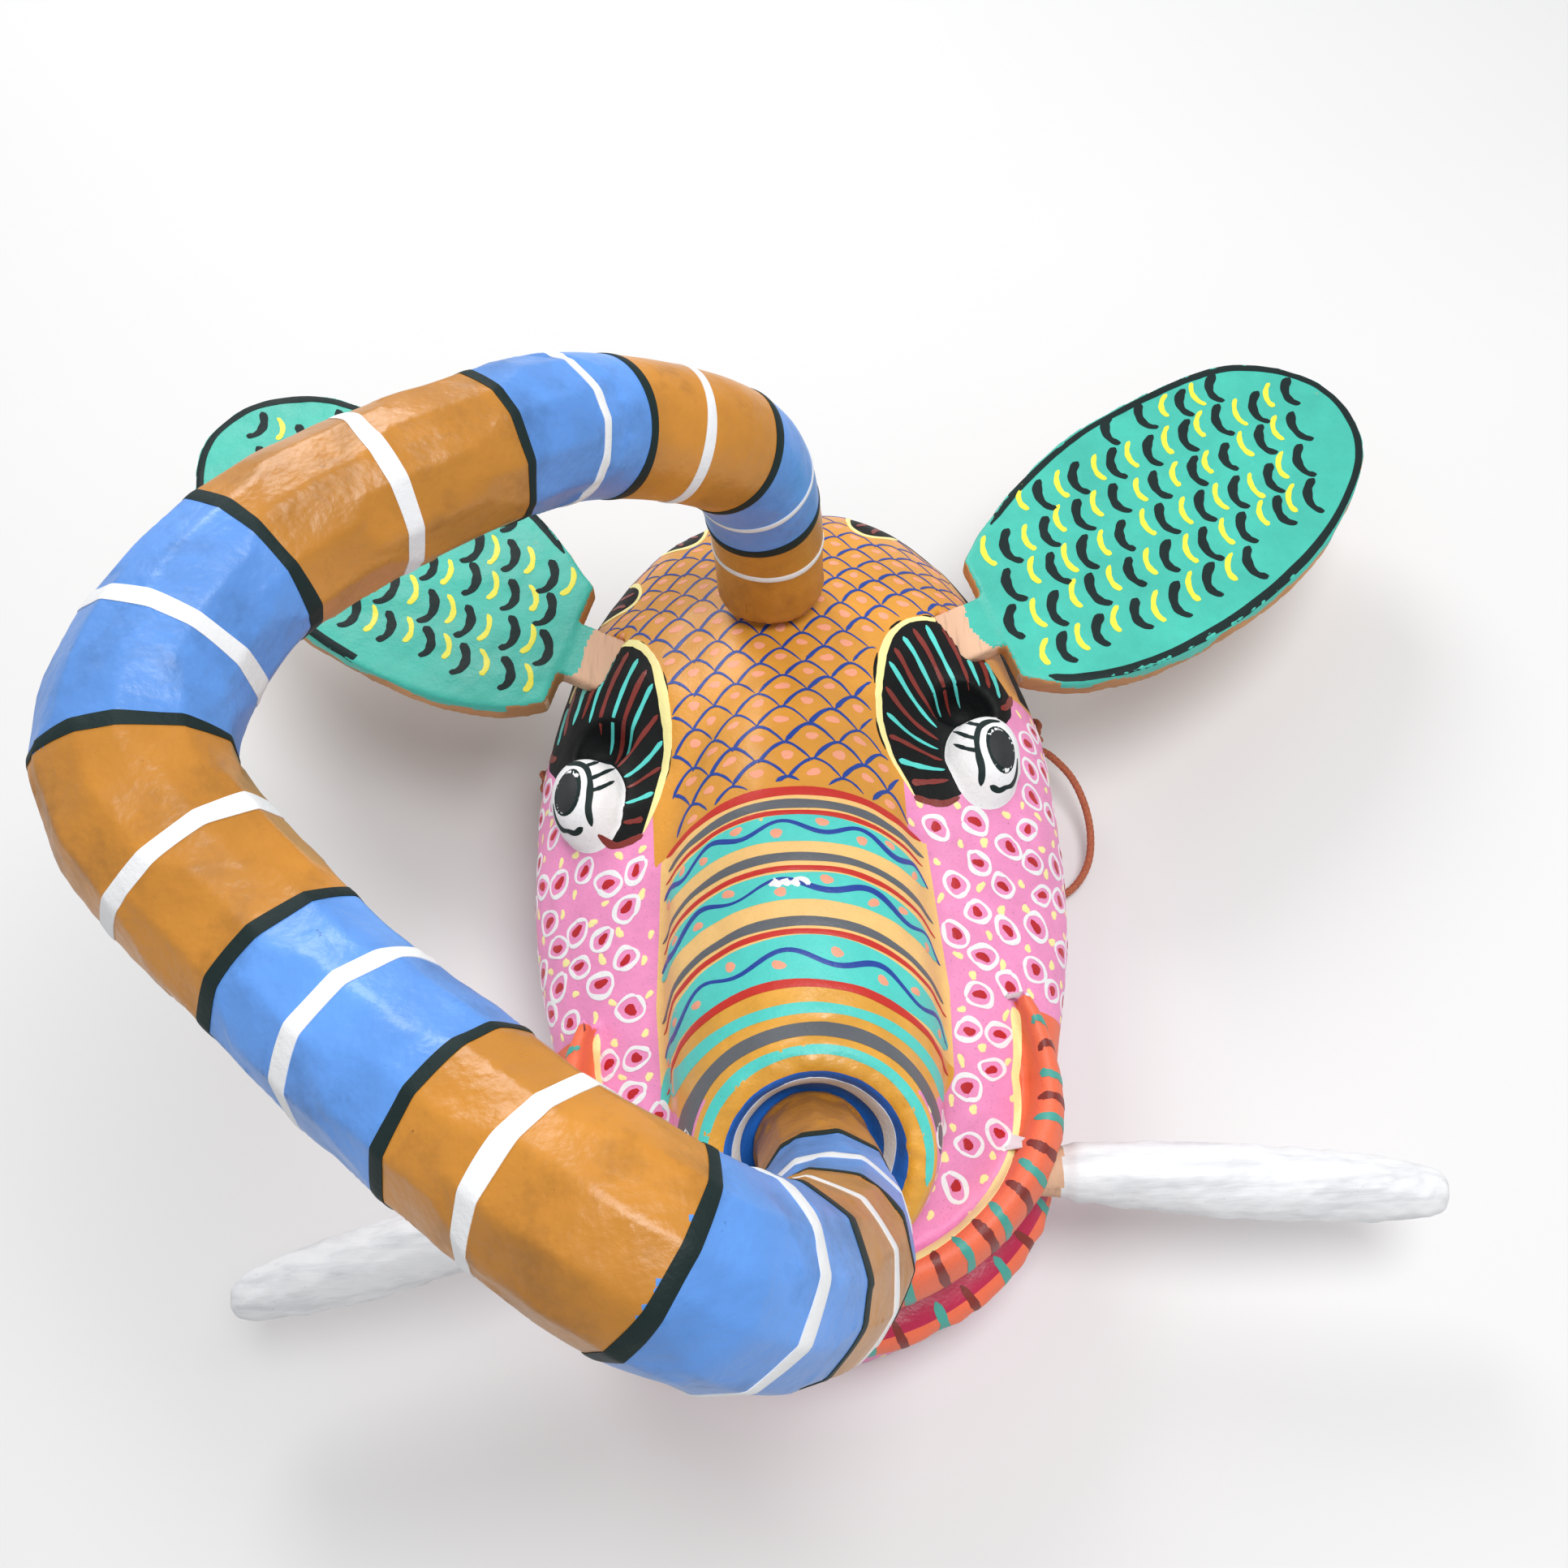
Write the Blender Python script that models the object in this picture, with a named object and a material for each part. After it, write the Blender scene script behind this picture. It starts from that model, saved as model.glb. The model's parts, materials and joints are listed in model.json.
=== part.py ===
"""A carved wooden elephant mask, lying face up on its rear rim.

The head is one hollow block with a raised snout, carved eyes and lips.  The trunk, both ears and
both tusks are separate carved pieces that plug into it, and a knotted cord ties it on.
Metres, +Z up, +Y towards the crown, -Y towards the chin, +X to the viewer's right.
"""
import math

import bmesh
import bpy
from mathutils import Matrix, Vector

MM = 0.001
GAP = 0.3 * MM              # clearance between two pieces that touch
SIDE = {"right": 1, "left": -1}
PLACE = Vector((-1.5, 20.9, 0)) * MM     # from the middle of the head to the middle of the whole piece

# Head: stations from crown to chin, as y, half width, crest height, height of the widest line.
HEAD_STATIONS = (
    (128, 14, 46, 30), (123, 33, 60, 34), (114, 48, 73, 38), (98, 61, 84, 42), (75, 74, 91, 45),
    (45, 84, 98, 46), (15, 90, 103, 46), (-20, 92, 100, 46), (-60, 90, 88, 45), (-95, 82, 83, 43),
    (-125, 75, 80, 40), (-150, 65, 74, 36), (-168, 47, 66, 33), (-177, 28, 54, 30), (-182, 11, 42, 26),
)
RIM_SHARE = 0.94            # half width at the rear rim over the greatest half width
HOLLOW_STATIONS = (
    (108, 16, 34, 20), (100, 36, 52, 26), (80, 54, 67, 32), (45, 68, 79, 34), (0, 75, 84, 34),
    (-45, 74, 76, 32), (-85, 64, 62, 28), (-110, 54, 44, 24), (-130, 42, 32, 18), (-144, 24, 22, 12),
)
CORD_ARCH_Y = -20 * MM      # middle of the shallow arches in the rim that the cord passes through
CORD_ARCH_RADIUS = 65 * MM
CORD_ARCH_HEIGHT = 5 * MM
CORD_ARCH_REACH = 120 * MM  # past both sides of the head

# Snout: spine stations from the forehead to the socket, as x, y, z, radius.
SNOUT_STATIONS = (
    (0, 45, 50, 38), (0, 15, 64, 41), (0, -15, 71, 42.5), (0, -45, 75, 43), (0, -80, 75, 43),
    (0, -106, 75, 42.5), (0.5, -127, 82, 40), (1.6, -139, 94, 37), (2.2, -143.5, 100, 33),
)
SOCKET_CENTRE = Vector((2, -143, 99)) * MM
SOCKET_AXIS = Vector((0.12, -0.60, 0.79)).normalized()
SOCKET_RIM_RADIUS = 26 * MM
SOCKET_FLOOR_RADIUS = 18.4 * MM
SOCKET_DEPTH = 13 * MM
PEG_RADIUS = 11 * MM
PEG_LENGTH = 24 * MM

# Eyes
EYE_SHIFT = {"right": Vector((0, 0, 0)) * MM, "left": Vector((3, -5, 0)) * MM}
EYE_CENTRE = Vector((64.5, -8, 84)) * MM
EYE_RADII = (13 * MM, 17.5 * MM, 13 * MM)
EYE_TILT = math.radians(-14)
ORBIT_CENTRE = Vector((60, 10, 104)) * MM
ORBIT_RADII = (27 * MM, 38 * MM, 20 * MM)
POCKET_CENTRE = Vector((61, 15, 86)) * MM
POCKET_RADII = (12 * MM, 9 * MM, 15 * MM)

# Mouth: the lips follow half an ellipse about MOUTH_Y.
MOUTH_Y = -110 * MM

# Trunk: the spine from socket floor to tip, as x, y, z, radius.
TRUNK_STATIONS = (
    (4.2, -154, 114, 18.6), (6.0, -172, 141, 20.1), (5.0, -185, 164, 21.1), (-5.0, -200, 208, 21.7),
    (-25, -201, 247, 21.9), (-63, -172, 243, 21.6), (-103, -135, 236, 21.3), (-140, -88, 246, 22.4),
    (-121, -34, 246, 21.6), (-70, 11, 231, 21.0), (-43, 39, 206, 20.4), (-10, 54, 176, 19.8),
    (-2.4, 61, 141, 19.2), (-2.4, 59, 101, 18.6),
)
TRUNK_BASE_RADIUS = 17.2
TRUNK_SIDES = 20
TRUNK_STEPS = 4

# Tusks
TUSK_ROOT = Vector((75, -137, 52)) * MM
TUSK_TIPS = {"right": Vector((194, -149, 45)) * MM, "left": Vector((-183, -160, 45)) * MM}
TUSK_PROFILE = (
    (0, 9.7), (0.12, 10.2), (0.35, 11.4), (0.6, 11.6), (0.8, 10.3), (0.93, 8.3), (0.985, 6), (1, 3),
)
TUSK_PEG_RADIUS = 8 * MM
TUSK_PEG_LENGTH = 15 * MM
TUSK_HOLE_REACH = 15 * MM    # how far the hole's cutter runs out past the tusk's root

# Ears: a board outline in its own plane, along the ear and across it towards the crown.
EAR_OUTLINE = (
    (2, 24), (33, 44), (72, 59), (111, 65), (141, 65), (159, 58), (172, 46), (177, 31), (175, 15),
    (166, -1), (150, -15), (131, -27), (110, -36), (84, -43), (53, -47), (28, -46), (6, -40), (-7, -30),
)
EAR_ROOT_EDGE = -7 * MM
EAR_BREADTH_SHARE = {"right": 1.0, "left": 0.93}
EAR_THICKNESS = 8 * MM
EAR_EDGE_BEVEL = 0.8 * MM
EAR_ROOT = {"right": Vector((75, 57, 77)) * MM, "left": Vector((-77, 59, 77)) * MM}
EAR_ALONG = {
    "right": Vector((0.90, 0.42, -0.09)).normalized(),
    "left": Vector((-0.87, 0.48, 0.02)).normalized(),
}
TENON_WIDTH = 22 * MM
TENON_LENGTH = 20 * MM
TENON_THICKNESS = 6.4 * MM
TENON_MIDDLE = -4 * MM      # across the ear, from the root point

# Cord: a hole in each side of the head, a knot outside each hole, and the route between the knots.
CORD_RADIUS = 1.4 * MM
CORD_HOLES = {"right": Vector((85, 36, 28)) * MM, "left": Vector((-87, 30, 28)) * MM}
CORD_HOLE_RADIUS = 2.4 * MM
CORD_HOLE_DEPTH = 24 * MM
KNOT_RADII = (4.2 * MM, 5.4 * MM, 4.2 * MM)
KNOT_STAND_OFF = 5.2 * MM   # middle of a knot from the mouth of its hole
CORD_ROUTE = (
    (92.0, 31.8, 23.4), (97.5, 29.5, 20.5), (104.5, 22.5, 16), (108.5, 12.5, 12), (109.5, 1.5, 9),
    (107.5, -9, 6.5), (102, -17, 4.2), (94, -21.5, 2.7), (84, -22.5, 2.0), (72, -20, 1.9),
    (56, -10, 1.8), (38, 4, 1.8),
    (18, 12, 1.8), (-2, 10, 1.8), (-20, 0, 1.8), (-37, -7, 1.8), (-52, -4, 2.0), (-60, 8, 4.5),
    (-61, 20, 12), (-62, 27, 20), (-67, 30, 26), (-75, 30, 28), (-86.6, 30, 28),
)
CORD_STEPS = 3


def clear_scene():
    for thing in list(bpy.data.objects):
        bpy.data.objects.remove(thing, do_unlink=True)


def material(name, colour, roughness, metallic=0.0):
    made = bpy.data.materials.new(name)
    made.use_nodes = True
    shader = made.node_tree.nodes["Principled BSDF"]
    shader.inputs["Base Color"].default_value = (*colour, 1.0)
    shader.inputs["Roughness"].default_value = roughness
    shader.inputs["Metallic"].default_value = metallic
    return made


def curve_through(stations, steps):
    """Points on the Catmull-Rom curve through the stations, with steps points a span."""
    knots = [Vector(s) for s in stations]
    knots = [2 * knots[0] - knots[1], *knots, 2 * knots[-1] - knots[-2]]
    points = []
    for a, b, c, d in zip(knots, knots[1:], knots[2:], knots[3:]):
        for k in range(steps):
            t = k / steps
            points.append(0.5 * (2 * b + (c - a) * t + (2 * a - 5 * b + 4 * c - d) * t ** 2
                                 + (3 * b - a - 3 * c + d) * t ** 3))
    return points + [knots[-2]]


def new_object(name, mesh_source, surface=None, smooth_angle=None):
    """Turn a bmesh into a named object with its faces pointing out."""
    bmesh.ops.recalc_face_normals(mesh_source, faces=mesh_source.faces)
    mesh = bpy.data.meshes.new(name)
    mesh_source.to_mesh(mesh)
    mesh_source.free()
    if smooth_angle is not None:
        mesh.shade_smooth()
        mesh.set_sharp_from_angle(angle=math.radians(smooth_angle))
    made = bpy.data.objects.new(name, mesh)
    bpy.context.collection.objects.link(made)
    if surface:
        made.data.materials.append(surface)
    return made


def set_origin(made, place):
    """Move an object's own origin to a place in the world, leaving its shape where it is."""
    made.data.transform(Matrix.Translation(-place))
    made.location = place


def skin(name, rings, surface=None, smooth_angle=None):
    """A closed solid through rings with the same number of points, capped at both ends."""
    made = bmesh.new()
    rows = [[made.verts.new(p) for p in ring] for ring in rings]
    for low, high in zip(rows, rows[1:]):
        for k, vertex in enumerate(low):
            after = (k + 1) % len(low)
            made.faces.new((vertex, low[after], high[after], high[k]))
    made.faces.new(rows[0])
    made.faces.new(rows[-1])
    return new_object(name, made, surface, smooth_angle)


def ellipsoid(name, centre, radii, tilt=0.0, detail=3):
    made = bmesh.new()
    bmesh.ops.create_icosphere(made, subdivisions=detail, radius=1.0)
    place = Matrix.Translation(centre) @ Matrix.Rotation(tilt, 4, "Z") @ Matrix.Diagonal((*radii, 1.0))
    bmesh.ops.transform(made, matrix=place, verts=made.verts)
    return new_object(name, made)


def cylinder(name, start, end, radius, end_radius=None, sides=28):
    """A cylinder or cone frustum between two points."""
    made = bmesh.new()
    along = end - start
    bmesh.ops.create_cone(made, cap_ends=True, segments=sides, radius1=radius,
                          radius2=radius if end_radius is None else end_radius, depth=along.length)
    place = Matrix.Translation((start + end) / 2) @ along.to_track_quat("Z", "Y").to_matrix().to_4x4()
    bmesh.ops.transform(made, matrix=place, verts=made.verts)
    return new_object(name, made)


def boolean(target, tools, operation):
    """Cut target with the tools, or join them to it.  The tools stay as hidden guides."""
    group = bpy.data.collections.new(f"{target.name}_{operation.lower()}_tools")
    for tool in tools:
        group.objects.link(tool)
        tool.hide_render = True
        tool.display_type = "WIRE"
    step = target.modifiers.new(group.name, "BOOLEAN")
    step.operation = operation
    step.operand_type = "COLLECTION"
    step.collection = group


def dome_ring(y, half_width, crest, widest, floor):
    """One cross-section of the head: side walls up to the widest line, then an elliptical arch."""
    rise, arch = 4, 20
    side = [(half_width * (RIM_SHARE + (1 - RIM_SHARE) * math.sin(math.pi / 2 * k / rise)),
             floor + (widest - floor) * k / rise) for k in range(rise)]
    over = [(half_width * math.cos(math.pi * k / arch), widest + (crest - widest) * math.sin(math.pi * k / arch))
            for k in range(arch + 1)]
    far_side = [(-x, z) for x, z in reversed(side)]
    return [Vector((x, y, z)) * MM for x, z in side + over + far_side]


def dome(name, stations, floor=0.0):
    return skin(name, [dome_ring(*s, floor) for s in curve_through(stations, 2)])


def tube(name, stations, steps, sides, surface=None, smooth_angle=None, across=Vector((1, 0, 0))):
    """A solid swept along x, y, z, radius stations in millimetres, with the first ring's start along across."""
    line = curve_through(stations, steps)
    centres = [p.to_3d() * MM for p in line]
    rings, side = [], across
    for k, centre in enumerate(centres):
        ahead = centres[min(k + 1, len(centres) - 1)] - centres[max(k - 1, 0)]
        ahead.normalize()
        side = (side - ahead * side.dot(ahead)).normalized()
        up = ahead.cross(side)
        rings.append([centre + line[k][3] * MM * (side * math.cos(a) + up * math.sin(a))
                      for a in (2 * math.pi * j / sides for j in range(sides))])
    return skin(name, rings, surface, smooth_angle)


def lip(name, half_wide, half_long, height, thickness, tall, first, rise=0.0):
    """A band along the mouth's half ellipse from angle first to its mirror, fading out at both ends."""
    rings, count, sides = [], 30, 10
    for k in range(count + 1):
        share = k / count
        t = math.radians(first + (180 - 2 * first) * share)
        ends = min(1.0, 5.0 * min(share, 1 - share) + 0.12) ** 0.5
        lift = rise * max(0.0, 1 - 6.0 * min(share, 1 - share)) ** 1.5
        out = Vector((math.cos(t) / half_wide, -math.sin(t) / half_long, 0)).normalized()
        centre = Vector((half_wide * math.cos(t), MOUTH_Y / MM - half_long * math.sin(t), height + lift))
        turns = [2 * math.pi * j / sides for j in range(sides)]
        wide, high = out * thickness * ends, Vector((0, 0, tall * ends))
        rings.append([(centre + wide * math.cos(a) + high * math.sin(a)) * MM for a in turns])
    return skin(name, rings)


def head(surface):
    """The block with its snout and lips, then the eyes in their orbits, then every hollow and hole."""
    made = dome("mask_head", HEAD_STATIONS)
    snout = tube("snout_form", SNOUT_STATIONS, 2, 28)
    upper_lip = lip("upper_lip_form", 74, 63, 60, 6.5, 12.5, -22, rise=13)
    lower_lip = lip("lower_lip_form", 77, 70, 33, 7, 7.5, 8)
    boolean(made, (snout, upper_lip, lower_lip), "UNION")
    boolean(made, [form for hand in SIDE for form in orbit_forms(hand)], "DIFFERENCE")
    boolean(made, [eye_form(hand) for hand in SIDE], "UNION")
    holes = [form(hand) for hand in SIDE for form in (tusk_hole_form, ear_slot_form, cord_hole_form)]
    mouth = lip("mouth_form", 81, 71, 46, 12, 5.5, 14)
    hollow = dome("hollow_form", HOLLOW_STATIONS, floor=-1.0)
    boolean(made, [hollow, mouth, socket_form(), peg_bore_form(), rim_arch_form(), *holes], "DIFFERENCE")
    made.data.materials.append(surface)
    return made


def eye_place(hand, middle):
    return (middle + EYE_SHIFT[hand]) * Vector((SIDE[hand], 1, 1))


def orbit_forms(hand):
    """The shallow bowl round an eye, and the deep pocket under its brow."""
    return (ellipsoid(f"orbit_form_{hand}", eye_place(hand, ORBIT_CENTRE), ORBIT_RADII),
            ellipsoid(f"pocket_form_{hand}", eye_place(hand, POCKET_CENTRE), POCKET_RADII))


def eye_form(hand):
    return ellipsoid(f"eye_form_{hand}", eye_place(hand, EYE_CENTRE), EYE_RADII, SIDE[hand] * EYE_TILT)


def socket_form():
    depth = SOCKET_AXIS * SOCKET_DEPTH
    slope = (SOCKET_RIM_RADIUS - SOCKET_FLOOR_RADIUS) / SOCKET_DEPTH
    clear = 8 * MM
    return cylinder("socket_form", SOCKET_CENTRE - depth, SOCKET_CENTRE + SOCKET_AXIS * clear,
                    SOCKET_FLOOR_RADIUS, SOCKET_RIM_RADIUS + slope * clear)


def peg_bore_form():
    floor = SOCKET_CENTRE - SOCKET_AXIS * SOCKET_DEPTH
    return cylinder("peg_bore_form", floor - SOCKET_AXIS * (PEG_LENGTH + MM), floor + SOCKET_AXIS * MM,
                    PEG_RADIUS + GAP)


def tusk_axis(hand):
    return (TUSK_TIPS[hand] - tusk_root(hand)).normalized()


def tusk_root(hand):
    return TUSK_ROOT * Vector((SIDE[hand], 1, 1))


def tusk_hole_form(hand):
    along, root = tusk_axis(hand), tusk_root(hand)
    bottom, top = root - along * (TUSK_PEG_LENGTH + MM), root + along * TUSK_HOLE_REACH
    return cylinder(f"tusk_hole_form_{hand}", bottom, top, TUSK_PEG_RADIUS + GAP, sides=20)


def ear_frame(hand):
    """The ear's own axes in the world: X along it, Y across it, Z out of its painted face."""
    along = EAR_ALONG[hand]
    face = (Vector((0, 0, 1)) - along * along.z).normalized()
    turned = Matrix((along, face.cross(along), face)).transposed().to_4x4()
    return Matrix.Translation(EAR_ROOT[hand]) @ turned


def plank(name, corners, thickness, surface=None, bevel=0.0):
    """A flat board with this outline, half its thickness either side of the outline's plane."""
    made = bmesh.new()
    lower = [made.verts.new((x, y, -thickness / 2)) for x, y in corners]
    upper = [made.verts.new((x, y, thickness / 2)) for x, y in corners]
    made.faces.new(lower)
    made.faces.new(upper)
    for k in range(len(corners)):
        after = (k + 1) % len(corners)
        made.faces.new((lower[k], lower[after], upper[after], upper[k]))
    if bevel:
        rims = [e for e in made.edges if abs(e.verts[0].co.z - e.verts[1].co.z) < bevel / 10]
        bmesh.ops.bevel(made, geom=rims, offset=bevel, segments=2, profile=0.5, affect="EDGES")
    return new_object(name, made, surface)


def board_corners(hand):
    """The rounded outline of the ear, without its tenon."""
    share = EAR_BREADTH_SHARE[hand] * SIDE[hand]
    return [(p.x * MM, p.y * MM * share) for p in curve_through([(x, y, 0) for x, y in EAR_OUTLINE], 2)]


def tenon_corners(hand, root, tip, clear=0.0):
    """A rectangle as wide as the tenon, and wider by clear on each side, from root to tip along the ear."""
    middle, half = SIDE[hand] * TENON_MIDDLE, TENON_WIDTH / 2 + clear
    return (root, middle - half), (tip, middle - half), (tip, middle + half), (root, middle + half)


def ear(hand, surface):
    """The painted board, with a thinner tenon standing out of its root."""
    made = plank(f"ear_{hand}", board_corners(hand), EAR_THICKNESS, surface, bevel=EAR_EDGE_BEVEL)
    made.matrix_world = ear_frame(hand)
    inside_board = 10 * MM
    corners = tenon_corners(hand, EAR_ROOT_EDGE - TENON_LENGTH, inside_board)
    tenon = plank(f"tenon_form_{hand}", corners, TENON_THICKNESS)
    tenon.matrix_world = made.matrix_world
    boolean(made, [tenon], "UNION")
    return made


def ear_slot_form(hand):
    """The mortise for the tenon, wider than it all round by the gap, and a little deeper."""
    clear_of_head = 12 * MM
    corners = tenon_corners(hand, EAR_ROOT_EDGE - TENON_LENGTH - MM, clear_of_head, GAP)
    made = plank(f"ear_slot_form_{hand}", corners, TENON_THICKNESS + 2 * GAP)
    made.matrix_world = ear_frame(hand)
    return made


def trunk(surface):
    """The carved trunk, swept from the socket's floor to its tip, with a round peg below its base."""
    floor = SOCKET_CENTRE - SOCKET_AXIS * (SOCKET_DEPTH - GAP)
    base = (*(floor / MM), TRUNK_BASE_RADIUS)
    made = tube("trunk", (base, *TRUNK_STATIONS), TRUNK_STEPS, TRUNK_SIDES, surface, 40)
    peg = cylinder("trunk_peg_form", floor - SOCKET_AXIS * PEG_LENGTH, floor + SOCKET_AXIS * 8 * MM,
                   PEG_RADIUS, sides=24)
    boolean(made, [peg], "UNION")
    for form in (made, peg):
        set_origin(form, floor)
    return made


def tusk(hand, surface):
    along, root = tusk_axis(hand), tusk_root(hand)
    length = (TUSK_TIPS[hand] - root).length
    profile = [(-TUSK_PEG_LENGTH, TUSK_PEG_RADIUS - MM), (-TUSK_PEG_LENGTH + MM, TUSK_PEG_RADIUS),
               (3 * MM, TUSK_PEG_RADIUS), (4 * MM, 9.4 * MM)]
    profile += [(4 * MM + share * (length - 4 * MM), radius * MM) for share, radius in TUSK_PROFILE[1:]]
    made = turned_piece(f"tusk_{hand}", root, along, profile, 16, surface)
    set_origin(made, root)
    return made


def turned_piece(name, start, along, profile, sides, surface):
    """A round piece about an axis, through distances along it and radii."""
    side = along.orthogonal().normalized()
    up = along.cross(side)
    rings = [[start + along * at + radius * (side * math.cos(a) + up * math.sin(a))
              for a in (2 * math.pi * j / sides for j in range(sides))] for at, radius in profile]
    return skin(name, rings, surface, 40)


def cord_hole_form(hand):
    mouth = CORD_HOLES[hand]
    outwards = Vector((SIDE[hand], 0, 0))
    return cylinder(f"cord_hole_form_{hand}", mouth - outwards * CORD_HOLE_DEPTH, mouth + outwards * 5 * MM,
                    CORD_HOLE_RADIUS, sides=12)


def rim_arch_form():
    """The shallow arch across both sides of the rim that lets the cord pass under it."""
    middle = Vector((0, CORD_ARCH_Y, CORD_ARCH_HEIGHT - CORD_ARCH_RADIUS))
    reach = Vector((CORD_ARCH_REACH, 0, 0))
    return cylinder("rim_arch_form", middle - reach, middle + reach, CORD_ARCH_RADIUS, sides=64)


def knot(hand, surface):
    outwards = Vector((SIDE[hand], 0, 0))
    made = ellipsoid(f"knot_{hand}", CORD_HOLES[hand] + outwards * KNOT_STAND_OFF, KNOT_RADII, detail=2)
    made.data.materials.append(surface)
    made.data.shade_smooth()
    return made


def cord(surface):
    """The tie cord as one filled tube."""
    line = bpy.data.curves.new("cord", "CURVE")
    line.dimensions = "3D"
    line.bevel_depth = CORD_RADIUS
    line.bevel_resolution = 2
    line.use_fill_caps = True
    line.render_resolution_u = 0
    points = curve_through(CORD_ROUTE, CORD_STEPS)
    run = line.splines.new("POLY")
    run.points.add(len(points) - 1)
    for point, place in zip(run.points, points):
        point.co = (*(place * MM), 1.0)
    line.materials.append(surface)
    made = bpy.data.objects.new("cord", line)
    bpy.context.collection.objects.link(made)
    return made


def main():
    clear_scene()
    painted = material("painted_wood", (0.80, 0.42, 0.10), 0.5)
    trunk_paint = material("trunk_paint", (0.25, 0.45, 0.80), 0.45)
    ear_paint = material("ear_paint", (0.18, 0.66, 0.60), 0.6)
    tusk_paint = material("tusk_paint", (0.85, 0.85, 0.86), 0.6)
    fibre = material("cord_fibre", (0.48, 0.19, 0.10), 0.7)
    head(painted)
    trunk(trunk_paint)
    for hand in ("right", "left"):
        ear(hand, ear_paint)
        tusk(hand, tusk_paint)
        knot(hand, fibre)
    cord(fibre)
    for thing in bpy.data.objects:
        thing.location += PLACE


main()
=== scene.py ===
"""A carved and hand-painted elephant mask, lying face up on a pale floor.

Each wooden piece is the CAD solid, remeshed finely, smoothed and made a little uneven, and the trunk is cut
in shallow facets.  The head's mesh is split along the borders between its paints, and the painted marks are
thin closed strokes of paint laid on the pieces.
Places and sizes are in millimetres in the head's own frame, unless a comment says metres: X towards
ear_right, Y towards the crown and Z up, with the origin on the floor, CROWN_REACH from the crown.
"""
import json
import math
import random

import bmesh
import bpy
import numpy as np
from mathutils import Matrix, Vector
from mathutils.bvhtree import BVHTree


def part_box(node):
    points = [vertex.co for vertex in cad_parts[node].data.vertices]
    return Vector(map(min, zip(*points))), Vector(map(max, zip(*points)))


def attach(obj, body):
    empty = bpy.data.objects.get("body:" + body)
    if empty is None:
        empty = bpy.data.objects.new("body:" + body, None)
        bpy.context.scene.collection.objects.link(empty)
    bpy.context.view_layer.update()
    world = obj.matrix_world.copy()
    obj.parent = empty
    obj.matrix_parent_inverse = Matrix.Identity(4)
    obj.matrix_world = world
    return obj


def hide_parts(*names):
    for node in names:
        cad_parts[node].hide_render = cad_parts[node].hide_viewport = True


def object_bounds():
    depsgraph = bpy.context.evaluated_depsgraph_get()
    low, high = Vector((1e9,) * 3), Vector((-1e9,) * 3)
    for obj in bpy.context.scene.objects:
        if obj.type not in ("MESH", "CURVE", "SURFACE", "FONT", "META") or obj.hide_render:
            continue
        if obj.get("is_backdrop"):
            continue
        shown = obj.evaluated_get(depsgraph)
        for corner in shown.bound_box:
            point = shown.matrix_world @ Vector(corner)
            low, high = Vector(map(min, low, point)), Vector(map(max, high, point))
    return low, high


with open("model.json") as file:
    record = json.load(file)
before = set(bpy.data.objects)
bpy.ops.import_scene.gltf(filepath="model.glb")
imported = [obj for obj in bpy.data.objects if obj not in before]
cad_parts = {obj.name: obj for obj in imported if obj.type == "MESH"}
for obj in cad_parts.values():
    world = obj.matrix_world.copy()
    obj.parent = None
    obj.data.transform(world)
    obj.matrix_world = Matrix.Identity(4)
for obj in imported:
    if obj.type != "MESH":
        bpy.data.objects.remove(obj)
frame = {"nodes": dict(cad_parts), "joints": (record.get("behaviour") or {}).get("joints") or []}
CAD_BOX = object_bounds()

MM = 0.001
CROWN_REACH = 128
HEAD_LOW, HEAD_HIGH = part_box("mask_head")
ORIGIN = Vector(((HEAD_LOW.x + HEAD_HIGH.x) / 2, HEAD_HIGH.y - CROWN_REACH * MM, 0))
SIDE = {"right": 1, "left": -1}
DRAW = random.Random(11)

# Paint colours, linear.
COLOURS = {
    "pink": (0.86, 0.29, 0.55), "white": (0.84, 0.84, 0.85), "red": (0.50, 0.012, 0.018),
    "pale_yellow": (0.94, 0.84, 0.36), "coral": (0.86, 0.16, 0.07), "crimson": (0.47, 0.009, 0.065),
    "black": (0.0065, 0.007, 0.0075), "cyan": (0.10, 0.66, 0.60), "dark_red": (0.21, 0.024, 0.017),
    "amber": (0.72, 0.315, 0.036), "light_amber": (0.90, 0.56, 0.20), "gold": (0.80, 0.39, 0.045),
    "grey": (0.115, 0.125, 0.14), "scarlet": (0.58, 0.026, 0.016), "turquoise": (0.085, 0.63, 0.56),
    "royal_blue": (0.012, 0.055, 0.33), "salmon": (0.90, 0.37, 0.23), "sky_blue": (0.10, 0.28, 0.71),
    "trunk_amber": (0.52, 0.212, 0.023), "ear_green": (0.055, 0.50, 0.40), "ear_yellow": (0.86, 0.80, 0.06),
    "ear_black": (0.010, 0.022, 0.022), "teal": (0.06, 0.36, 0.30), "tusk_white": (0.80, 0.81, 0.83),
    "socket_blue": (0.018, 0.15, 0.62), "pupil": (0.035, 0.038, 0.040),
}
BARE_WOOD = (0.55, 0.27, 0.10)
PALE_WOOD = (0.70, 0.43, 0.28)


def place(x, y, z):
    """A point of the head's own frame, in the world."""
    return ORIGIN + Vector((x, y, z)) * MM


def curve_through(stations, steps):
    """Points on the Catmull-Rom curve through the stations, with steps points a span."""
    knots = [Vector(s) for s in stations]
    knots = [2 * knots[0] - knots[1], *knots, 2 * knots[-1] - knots[-2]]
    points = []
    for a, b, c, d in zip(knots, knots[1:], knots[2:], knots[3:]):
        for k in range(steps):
            t = k / steps
            points.append(0.5 * (2 * b + (c - a) * t + (2 * a - 5 * b + 4 * c - d) * t ** 2
                                 + (3 * b - a - 3 * c + d) * t ** 3))
    return points + [knots[-2]]


# ---------------------------------------------------------------- materials

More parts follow.
